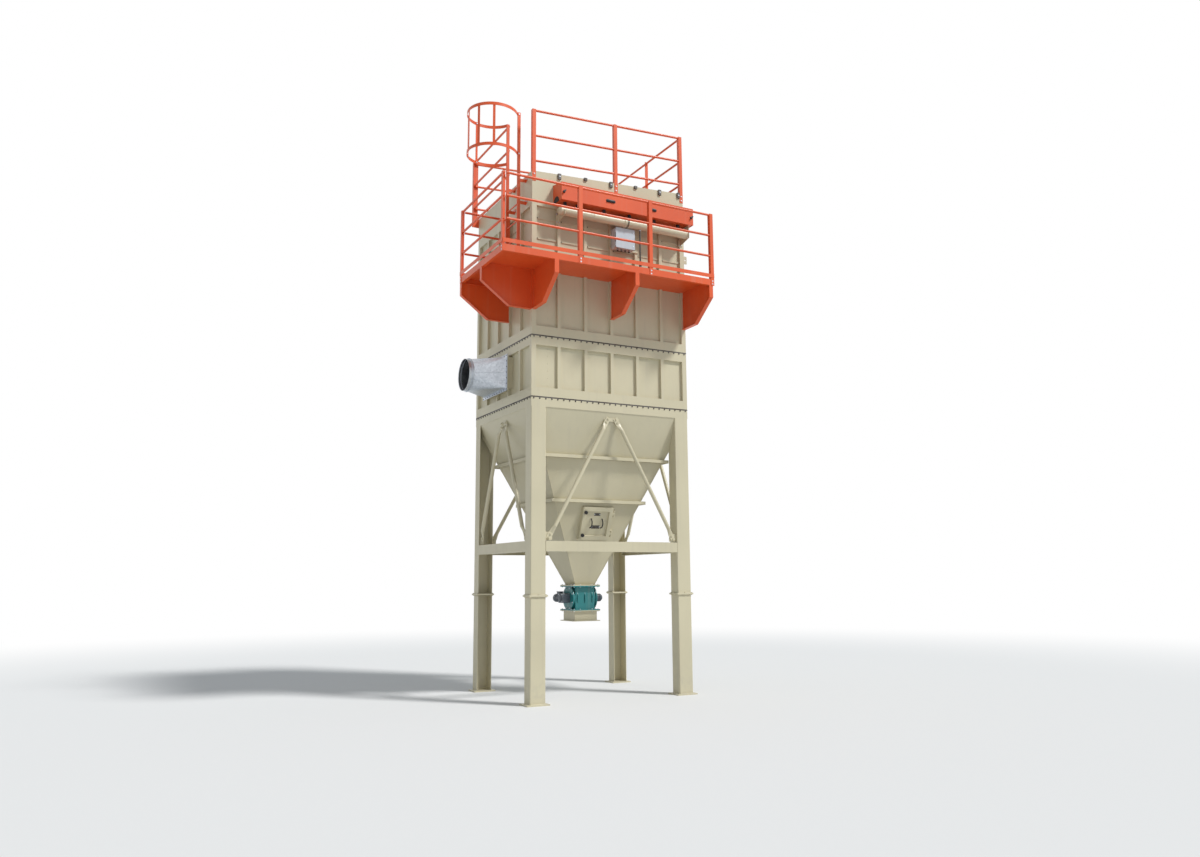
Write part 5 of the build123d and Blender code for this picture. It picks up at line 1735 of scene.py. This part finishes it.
@dataclass
class Platform(Assembly):
    """Service platform on brackets, with toe boards and railings."""

    tread_pitch: float = 0.036
    tread_margin: float = 0.030
    post_face: float = 0.006
    front_posts: tuple[float, ...] = (-0.970, 0.250, 1.395)
    left_posts: Pair = (-1.935, -0.250)
    rear_post: float = -1.430
    channel_height: float = 0.100
    bolt_levels: Pair = (-0.078, -0.030)
    toe_level: float = 0.055
    rail_levels: tuple[float, ...] = (1.082, 0.737, 0.392)
    rail_inset: float = 0.017
    cap: Profile = ((0.019, -0.012), (0.019, 0.0), (0.0126, 0.006))
    front_brackets: tuple[float, ...] = (-1.365, 0.0, 1.365)
    left_brackets: Pair = (-1.115, -0.2475)
    bracket_drop: float = 0.542
    bracket_half: float = 0.004
    floor_sheet: float = 0.008
    channel_reach: float = 0.063
    web_sheet: float = 0.006
    web_lap: float = 0.012
    angle_sheet: float = 0.003
    strip_rise: float = 0.002
    strip_sheet: float = 0.005
    strip_lap: float = 0.002
    side_strips: int = 2

    def dress(self) -> None:
        """Paint the platform and add its tread, bolts, welds, plates and caps."""
        nodes = ("platform_front", "platform_left", "platform_brackets", "toe_boards")
        self.paint(Slot.ORANGE, *nodes, "railing_front", "railing_left", "railing_rear_end")
        self.low, self.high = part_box("platform_front")
        self.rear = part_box("platform_left")[1].y
        self.casing_low, self.casing_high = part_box("upper_casing")
        self.channel_bottom = self.high.z - self.channel_height
        self.add_tread()
        self.add_bolts()
        self.add_welds()
        self.add_closing_strips()
        self.add_bracket_tops()
        self.add_corner_angle()
        self.add_caps()

    def add_tread(self) -> None:
        """Raised lozenges on both floor plates."""
        tree = TreadTree()
        margin = Vector((self.tread_margin, self.tread_margin, 0))
        for name, node in (("front_tread", "platform_front"), ("left_tread", "platform_left")):
            low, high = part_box(node)
            material = self.shop.finishes[Slot.ORANGE]
            mesh = tree.grow(low + margin, high - margin, self.tread_pitch, material)
            self.shop.deliver(name, mesh, Slot.ORANGE, Body.STRUCTURE)

    def add_bolts(self) -> None:
        """Post bolts through the edge channel, and toe board screws on the inside of each post."""
        floor = self.high.z
        posts = [(Vector((x, self.low.y, floor)), -Y_AXIS) for x in self.front_posts]
        posts += [(Vector((self.low.x, y, floor)), -X_AXIS) for y in self.left_posts]
        posts.append((Vector((self.rear_post, self.rear, floor)), Y_AXIS))
        spots = []
        screws = []
        for place, out in posts:
            spots += [(place + out * self.post_face + Z_AXIS * z, out) for z in self.bolt_levels]
            screws.append((place + Z_AXIS * self.toe_level, -out))
        self.fasten("rail_post_bolts", Fastener.BUTTON, spots)
        self.fasten("toe_board_screws", Fastener.SCREW, screws)

    def add_welds(self) -> None:
        """Beads on both sides of each bracket's root."""
        levels = (self.channel_bottom - self.bracket_drop, self.channel_bottom)
        wall = self.casing_low
        paths = []
        for side in (-self.bracket_half, self.bracket_half):
            paths += [[Vector((x + side, wall.y, z)) for z in levels] for x in self.front_brackets]
            paths += [[Vector((wall.x, y + side, z)) for z in levels] for y in self.left_brackets]
        self.weld("bracket_welds", paths, Bead.THIN, Slot.ORANGE)

    def add_closing_strips(self) -> None:
        """Strips that fill the floor's edge up to the recessed panels between the ribs."""
        low, high = self.casing_low, self.casing_high
        seat = upward(0, 0, self.high.z - self.floor_sheet + self.strip_rise)
        strips = Mesher()
        for bay in range(PANELS.front_bays):
            near, far = PANELS.gap(low.x, high.x, bay, PANELS.front_bays)
            outline = rectangle(near, low.y - self.strip_lap, far, low.y + PANELS.inset)
            strips.sheet(seat, [outline], self.strip_sheet)
        for bay in range(self.side_strips):
            near, far = PANELS.gap(low.y, high.y, bay, PANELS.side_bays)
            outline = rectangle(low.x - self.strip_lap, near, low.x + PANELS.inset, far)
            strips.sheet(seat, [outline], self.strip_sheet)
        self.deliver("floor_closing_strips", strips, Slot.ORANGE)

    def add_bracket_tops(self) -> None:
        """Plates from the brackets up to the floor."""
        foot = self.channel_bottom - self.web_lap
        height = self.high.z - self.floor_sheet - foot
        half = self.web_sheet / 2
        wall = self.casing_low
        front, left = self.low.y + self.channel_reach, self.low.x + self.channel_reach
        seats = [(Side.RIGHT.at(x - half, 0, foot), front, wall.y) for x in self.front_brackets]
        seats += [(Side.FRONT.at(0, y + half, foot), left, wall.x) for y in self.left_brackets]
        webs = Mesher()
        for seat, end, root in seats:
            webs.sheet(seat, [rectangle(end, 0, root, height)], self.web_sheet)
        self.deliver("bracket_top_webs", webs, Slot.ORANGE)

    def add_corner_angle(self) -> None:
        """An angle round the casing's corner between two brackets."""
        wall = self.casing_low
        bottom = self.channel_bottom - self.bracket_drop
        height = self.high.z - self.floor_sheet - bottom
        out = -self.angle_sheet
        reach = self.front_brackets[0] - wall.x - self.bracket_half
        corner = [(out, out), (reach, out), (reach, 0), (0, 0), (0, reach), (out, reach)]
        angle = Mesher()
        angle.sheet(upward(wall.x, wall.y, bottom), [corner], height)
        self.deliver("bracket_corner_angle", angle, Slot.ORANGE)

    def add_caps(self) -> None:
        """Domed caps on the free ends of the front rails."""
        y = self.low.y + self.rail_inset
        seats = [Side.RIGHT.at(self.high.x, y, self.high.z + level) for level in self.rail_levels]
        self.turn("rail_end_caps", Slot.ORANGE, seats, self.cap, Facets.KNOB, False)


@dataclass
class Ladder(Assembly):
    """Caged ladder from the platform to the roof."""

    strap_angles: tuple[float, ...] = (-72.0, -36.0, 0.0, 36.0, 72.0)
    hoop_height: float = 0.050
    strap_face: float = 0.0125
    standoff_levels: Pair = (7.675, 8.045)
    half: float = 0.225
    middle_y: float = -0.690
    wall: float = -1.400
    pad: Plate = Plate(0.090, 0.070, 0.006, 0.006, 0.001)
    pad_bolt: float = 0.028
    stile_half: float = 0.011
    stile_middle: float = -1.530

    def dress(self) -> None:
        """Paint the ladder and add its fixings."""
        self.paint(Slot.ORANGE, "ladder", "ladder_cage", "cage_straps")
        self.fasten("cage_bolts", Fastener.BOLT, self.cage_spots())
        self.add_pads()

    def cage_spots(self) -> list[Spot]:
        """Bolts where the straps cross the hoops, and where the hoops meet the stiles.

        Returns:
            The spots.
        """
        low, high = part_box("ladder_cage")
        radius = (high.y - low.y) / 2
        centre = Vector((low.x + radius, (low.y + high.y) / 2, 0))
        levels = (low.z + self.hoop_height / 2, high.z - self.hoop_height / 2)
        spots = []
        for angle in self.strap_angles:
            turn = math.radians(180 + angle)
            way = Vector((math.cos(turn), math.sin(turn), 0))
            place = centre + way * (radius - self.strap_face)
            spots += [(place + Z_AXIS * level, -way) for level in levels]
        for level in levels:
            for hand in HANDS:
                y = self.middle_y + hand * (self.half + self.stile_half)
                spots.append((Vector((self.stile_middle, y, level)), Y_AXIS * hand))
        return spots

    def add_pads(self) -> None:
        """Pads and bolts of the ladder's stand-offs on the wall."""
        stiles = [self.middle_y + hand * self.half for hand in HANDS]
        seats = [Side.LEFT.at(self.wall, y, level) for level in self.standoff_levels for y in stiles]
        self.pads("standoff_pads", Slot.ORANGE, seats, self.pad)
        spots = [seat.spot(side * self.pad_bolt, 0, self.pad.depth) for seat in seats for side in HANDS]
        self.fasten("standoff_bolts", Fastener.BOLT, spots)


@dataclass
class Hopper(Assembly):
    """Pyramid hopper with its rib frames and its hinged door."""

    outlet_half: float = 0.170
    flange_top: float = 1.705
    rib_levels: Pair = (3.650, 2.985)
    rib_height: float = 0.050
    door_width: float = 0.545
    hinge_x: float = 0.2985
    hinge_z: float = 0.042
    neck: float = 0.022
    gasket_gap: float = 0.016
    gasket_width: float = 0.040
    gasket_sheet: float = 0.0042
    gasket_corner: float = 0.012
    leaf_face: float = 0.037
    plates: tuple[tuple[float, Plate], ...] = (
        (0.148, Plate(0.110, 0.045, 0.0015, 0.004, 0.0004)),
        (-0.060, Plate(0.150, 0.055, 0.0015, 0.004, 0.0004)),
    )
    rivet_margin: float = 0.008
    rim_face: float = 0.065
    knob_x: float = -0.2325
    knob_y: float = 0.1875
    knob_radius: float = 0.027
    knob_lift: float = 0.012
    knob_levels: tuple[Pair, ...] = ((0.004, 0.0), (0.0, 0.004), (0.0, 0.024), (0.004, 0.029), (0.012, 0.031))
    knob_lobes: int = 5
    knob_swell: Pair = (1.04, 0.07)

    def dress(self) -> None:
        """Paint the hopper and add welds, gasket, plates and knobs."""
        self.paint(Slot.CREAM, "hopper", "hopper_ribs", "door_frame", "hopper_door")
        self.paint(Slot.RUBBER, "door_handles")
        self.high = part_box("hopper")[1]
        joint = frame["joints"][0]
        up = Vector(joint["axis"])
        hinge = Vector(joint["pos_m"])
        out = X_AXIS.cross(up)
        self.door = Seat(hinge - X_AXIS * self.hinge_x - out * self.hinge_z, X_AXIS, up)
        self.add_welds()
        self.add_gasket()
        self.add_plates()
        self.add_knobs()

    def corner(self, level: float, side_x: int, side_y: int) -> Vector:
        """A point on one of the hopper's outer edges.

        Args:
            level: Its height over the ground.
            side_x: -1 for the left and 1 for the right.
            side_y: -1 for the front and 1 for the rear.

        Returns:
            The point.
        """
        share = (level - self.flange_top) / (self.high.z - self.flange_top)
        x = self.outlet_half + (self.high.x - self.outlet_half) * share
        y = self.outlet_half + (self.high.y - self.outlet_half) * share
        return Vector((side_x * x, side_y * y, level))

    def add_welds(self) -> None:
        """Beads along the hopper's edges, its ribs and the door's neck."""
        turns = ((-1, -1), (1, -1), (1, 1), (-1, 1))
        edges = [[self.corner(level, *turn) for level in (self.flange_top, self.high.z)] for turn in turns]
        self.weld("hopper_edge_welds", edges, Bead.HEAVY)
        levels = [bottom + rise for bottom in self.rib_levels for rise in (0.0, self.rib_height)]
        loops = [[self.corner(level, *turn) for turn in turns] for level in levels]
        half = self.door_width / 2
        loops.append([self.door.at(x * half, y * half) for x, y in turns])
        beads = [[near, far] for loop in loops for near, far in zip(loop, loop[1:] + loop[:1])]
        self.weld("rib_and_neck_welds", beads, Bead.THIN)

    def add_gasket(self) -> None:
        """Flat rubber seal on the door's neck."""
        gasket = Mesher()
        foot, face = self.neck, self.neck + self.gasket_sheet
        rings = []
        for inset, lift in ((0.0, foot), (0.0, face), (self.gasket_width, face), (self.gasket_width, foot)):
            size = self.door_width - self.gasket_gap - 2 * inset
            outline = rounded_outline(size, size, self.gasket_corner)
            rings.append([self.door.at(x, y, lift) for x, y in outline])
        gasket.loft(rings, closed=True)
        self.deliver("door_gasket", gasket, Slot.RUBBER)

    def add_plates(self) -> None:
        """Two bare dark plates riveted on the door's leaf."""
        plates = Mesher()
        face = self.door.moved(0, 0, self.leaf_face)
        spots = []
        for y, plate in self.plates:
            plates.pad(face.moved(0, y), plate)
            reach = plate.width / 2 - self.rivet_margin
            spots += [face.spot(side * reach, y, plate.depth) for side in HANDS]
        self.deliver("door_plates", plates, Slot.STEEL, Body.DOOR)
        self.fasten("door_plate_rivets", Fastener.RIVET, spots, Slot.ZINC, Body.DOOR)

    def add_knobs(self) -> None:
        """Lobed grips of the two clamp knobs."""
        knobs = Mesher()
        middle, swell = self.knob_swell
        turns = [math.tau * step / Facets.DRUM for step in range(Facets.DRUM)]
        for side in HANDS:
            seat = self.door.moved(self.knob_x, side * self.knob_y, self.rim_face + self.knob_lift)
            rings = []
            for inset, lift in self.knob_levels:
                ring = []
                for turn in turns:
                    radius = (self.knob_radius - inset) * (middle + swell * math.cos(self.knob_lobes * turn))
                    ring.append(seat.at(radius * math.cos(turn), radius * math.sin(turn), lift))
                rings.append(ring)
            knobs.loft(rings)
        self.deliver("knob_grips", knobs, Slot.RUBBER, Body.DOOR)


@dataclass
class Discharge(Assembly):
    """Rotary valve with its gear motor, bearing and outlet spool."""

    bolt_half: float = 0.215
    bolt_steps: tuple[float, ...] = (-0.215, -0.1075, 0.1075, 0.215)
    joints: tuple[Pair, ...] = ((1.705, 1.674), (1.316, 1.288))
    axis_level: float = 1.495
    cover_face: float = 0.218
    cover_bolt_radius: float = 0.172
    cover_bolts: int = 8
    motor_x: float = -0.285
    motor_start: float = 0.075
    motor_radius: float = 0.062
    fin_count: int = 36
    fin_root: float = 0.061
    fin_span: Pair = (0.020, 0.150)
    fin_sheet: float = 0.003
    fin_height: float = 0.0055
    cowl_start: float = 0.158
    cowl: Profile = (
        (0.062, 0.0), (0.0665, 0.0), (0.0665, 0.060), (0.0605, 0.068), (0.050, 0.070), (0.050, 0.066),
        (0.044, 0.066), (0.044, 0.070), (0.036, 0.070), (0.036, 0.066), (0.030, 0.066), (0.030, 0.070),
        (0.012, 0.071))
    box_y: float = 0.085
    box_sink: float = 0.006
    box: Plate = Plate(0.078, 0.090, 0.040, 0.008, 0.003)
    box_lid: Plate = Plate(0.084, 0.096, 0.008, 0.010, 0.002)
    gearbox_face: float = 0.358
    gearbox_lid: Profile = ((0.056, 0.0), (0.056, 0.006), (0.050, 0.009), (0.020, 0.009), (0.018, 0.012))
    gearbox_screw: float = 0.058
    lid_screw_share: Pair = (0.6, 0.65)
    bearing_foot: Plate = Plate(0.140, 0.140, 0.012, 0.020, 0.002)
    bearing_bolt: float = 0.050
    bearing_length: float = 0.066
    housing: Profile = (
        (0.034, 0.0), (0.060, 0.0), (0.063, 0.004), (0.063, 0.030), (0.058, 0.034), (0.058, 0.040),
        (0.063, 0.044), (0.063, 0.078), (0.057, 0.086), (0.044, 0.090), (0.042, 0.104), (0.036, 0.108))

    def dress(self) -> None:
        """Paint the discharge and add its bolts and motor parts."""
        self.paint(Slot.TEAL, "rotary_valve")
        self.paint(Slot.MOTOR, "valve_motor", "valve_bearing")
        self.paint(Slot.CREAM, "outlet_spool")
        self.add_flange_bolts()
        self.add_cover_bolts()
        self.add_motor_parts()
        self.add_box_and_lid()
        self.add_bearing_parts()

    def add_flange_bolts(self) -> None:
        """Bolts round the flanges above and below the valve."""
        sides = (-self.bolt_half, self.bolt_half)
        places = {(x, y) for x in self.bolt_steps for y in sides}
        places |= {(x, y) for x in sides for y in self.bolt_steps}
        floor = upward(0, 0, 0)
        spots = [spot for levels in self.joints for spot in floor.through(sorted(places), *levels)]
        self.fasten("valve_flange_bolts", Fastener.BOLT, spots)

    def add_cover_bolts(self) -> None:
        """Bolts in both end covers of the valve."""
        spots = []
        for hand in HANDS:
            for y, z in circle(self.cover_bolt_radius, self.cover_bolts, 0.5):
                spots.append((Vector((hand * self.cover_face, y, self.axis_level + z)), X_AXIS * hand))
        self.fasten("valve_cover_bolts", Fastener.BOLT, spots)

    def add_motor_parts(self) -> None:
        """Cooling fins and fan cowl of the motor."""
        axis = Seat(Vector((self.motor_x, self.motor_start, self.axis_level)), Z_AXIS, X_AXIS)
        start, end = self.fin_span
        fins = Mesher()
        for x, y in circle(1.0, self.fin_count):
            out = axis.right * x + axis.up * y
            foot = axis.origin + out * self.fin_root
            fins.bar(foot + axis.out * start, foot + axis.out * end, out, self.fin_sheet, self.fin_height)
        self.deliver("motor_fins", fins, Slot.MOTOR)
        cowl = axis.moved(0, 0, self.cowl_start)
        self.turn("motor_cowl", Slot.MOTOR, [cowl], self.cowl, Facets.DRUM, False)

    def add_box_and_lid(self) -> None:
        """Terminal box of the motor and lid of its gearbox, with their screws."""
        level = self.axis_level + self.motor_radius - self.box_sink
        top = upward(self.motor_x, self.motor_start + self.box_y, level)
        face = Side.LEFT.at(-self.gearbox_face, 0, self.axis_level)
        lid = Mesher()
        lid.pad(top, self.box)
        lid.pad(top.moved(0, 0, self.box.depth), self.box_lid)
        lid.lathe(face, self.gearbox_lid, Facets.DRUM)
        self.deliver("motor_box_and_lid", lid, Slot.MOTOR)
        reach = self.gearbox_screw
        share_x, share_y = self.lid_screw_share
        spots = face.spots(corners(reach, reach))
        spots += top.spots(corners(reach * share_x, reach * share_y), self.box.depth + self.box_lid.depth)
        self.fasten("gearbox_screws", Fastener.SCREW, spots)

    def add_bearing_parts(self) -> None:
        """Square foot of the bearing with four bolts, and its housing round the shaft end."""
        seat = Side.RIGHT.at(self.cover_face, 0, self.axis_level)
        self.pads("bearing_foot", Slot.MOTOR, [seat], self.bearing_foot)
        housing = seat.moved(0, 0, self.bearing_length)
        self.turn("bearing_housing", Slot.MOTOR, [housing], self.housing, Facets.DRUM, False)
        spots = seat.spots(corners(self.bearing_bolt, self.bearing_bolt), self.bearing_foot.depth)
        self.fasten("bearing_bolts", Fastener.BOLT, spots)


@dataclass(frozen=True)
class PhotoCamera:
    """The camera at the photograph's own place and angle."""

    place: Size = (-7.1053, -13.8714, 1.7955)
    yaw: float = 28.388
    pitch: float = 9.073
    roll: float = -0.414
    lens: float = 28.266
    sensor: float = 36.0
    reach: float = 200.0

    def build(self) -> None:
        """Make the camera and choose it for the scene."""
        yaw, pitch, roll = (math.radians(angle) for angle in (self.yaw, self.pitch, self.roll))
        ahead = Vector((math.sin(yaw) * math.cos(pitch), math.cos(yaw) * math.cos(pitch), math.sin(pitch)))
        level = Vector((math.cos(yaw), -math.sin(yaw), 0))
        upright = level.cross(ahead)
        right = level * math.cos(roll) + upright * math.sin(roll)
        up = upright * math.cos(roll) - level * math.sin(roll)
        turn = Matrix((right, up, -ahead)).transposed().to_4x4()
        data = bpy.data.cameras.new("photo_camera")
        data.sensor_fit = "HORIZONTAL"
        data.sensor_width = self.sensor
        data.lens = self.lens
        data.clip_end = self.reach
        camera = add_object("photo_camera", data)
        camera.matrix_world = Matrix.Translation(Vector(self.place)) @ turn
        bpy.context.scene.camera = camera


@dataclass(frozen=True)
class Studio:
    """Pale floor, white surroundings and soft light from the right of the front."""

    floor_half: float = 60.0
    floor_colour: Colour = (0.80, 0.80, 0.79)
    fade_start: float = 9.0
    fade_end: float = 22.0
    sky_colour: Colour = (0.88, 0.94, 1.0)
    sky_strength: float = 0.44
    sun_strength: float = 2.6
    sun_spread: float = 9.0
    sun_turn: float = 38.0
    sun_height: float = 47.0

    def build(self) -> None:
        """Make the floor, the surroundings and the sun."""
        bpy.context.scene.view_settings.view_transform = "Standard"
        self.build_floor()
        self.build_world()
        self.build_sun()

    @staticmethod
    def seen(graph: Graph) -> Wire:
        """1 for a ray that shows the background: from the camera, or off or through something glossy.

        Args:
            graph: The tree that it is for.

        Returns:
            The value.
        """
        path = graph.node("ShaderNodeLightPath")
        kinds = ("Is Camera Ray", "Is Glossy Ray", "Is Transmission Ray")
        camera, glossy, through = (Wire(graph, path.outputs[kind]) for kind in kinds)
        return graph.math("MAXIMUM", graph.math("MAXIMUM", camera, glossy), through)

    def build_floor(self) -> None:
        """A wide floor whose far part fades to the white of the background."""
        half = self.floor_half
        mesh = bpy.data.meshes.new("studio_floor")
        points = [(x, y, 0) for x, y in rectangle(-half, -half, half, half)]
        mesh.from_pydata(points, [], [(0, 1, 2, 3)])
        floor = add_object("studio_floor", mesh)
        paint = Painter("studio_floor_finish")
        far = paint.out("ShaderNodeVectorMath", {0: paint.place}, {"operation": "LENGTH"}, "Value")
        share = far.ramp(self.fade_start, self.fade_end) * self.seen(paint)
        matt = paint.out("ShaderNodeBsdfDiffuse", {"Color": (*self.floor_colour, 1.0)})
        glow = paint.out("ShaderNodeEmission", {"Color": (1, 1, 1, 1), "Strength": 1.0})
        shader = paint.out("ShaderNodeMixShader", {0: share, 1: matt, 2: glow})
        paint.node("ShaderNodeOutputMaterial", {"Surface": shader})
        mesh.materials.append(paint.material)

    def build_world(self) -> None:
        """White where it is seen, and a plain soft sky light on the filter."""
        world = bpy.data.worlds.new("studio_world")
        world.use_nodes = True
        bpy.context.scene.world = world
        graph = Graph(world.node_tree)
        world.node_tree.nodes.clear()
        soft = graph.out("ShaderNodeBackground", {0: (*self.sky_colour, 1.0), 1: self.sky_strength})
        white = graph.out("ShaderNodeBackground", {0: (1, 1, 1, 1), 1: 1.0})
        shader = graph.out("ShaderNodeMixShader", {0: self.seen(graph), 1: soft, 2: white})
        graph.node("ShaderNodeOutputWorld", {0: shader})

    def build_sun(self) -> None:
        """One broad lamp, high on the right of the front."""
        data = bpy.data.lights.new("studio_sun", "SUN")
        data.energy = self.sun_strength
        data.angle = math.radians(self.sun_spread)
        lamp = add_object("studio_sun", data)
        lamp.rotation_euler = (math.radians(90.0 - self.sun_height), 0.0, math.radians(self.sun_turn))


def main() -> None:
    """Build and dress the filter, then the studio round it, and note both boxes."""
    logging.basicConfig(level=logging.INFO, format="%(name)s: %(message)s")
    shop = Workshop(FastenerTree(), WeldTree())
    shop.mix_finishes()
    for assembly_type in (Supports, Casing, Roof, Inlet, PulseAir, Platform, Ladder, Hopper, Discharge):
        assembly_type(shop).dress()
        log.info("%s dressed", assembly_type.__name__)
    Studio().build()
    PhotoCamera().build()


if __name__ == "__main__":
    main()
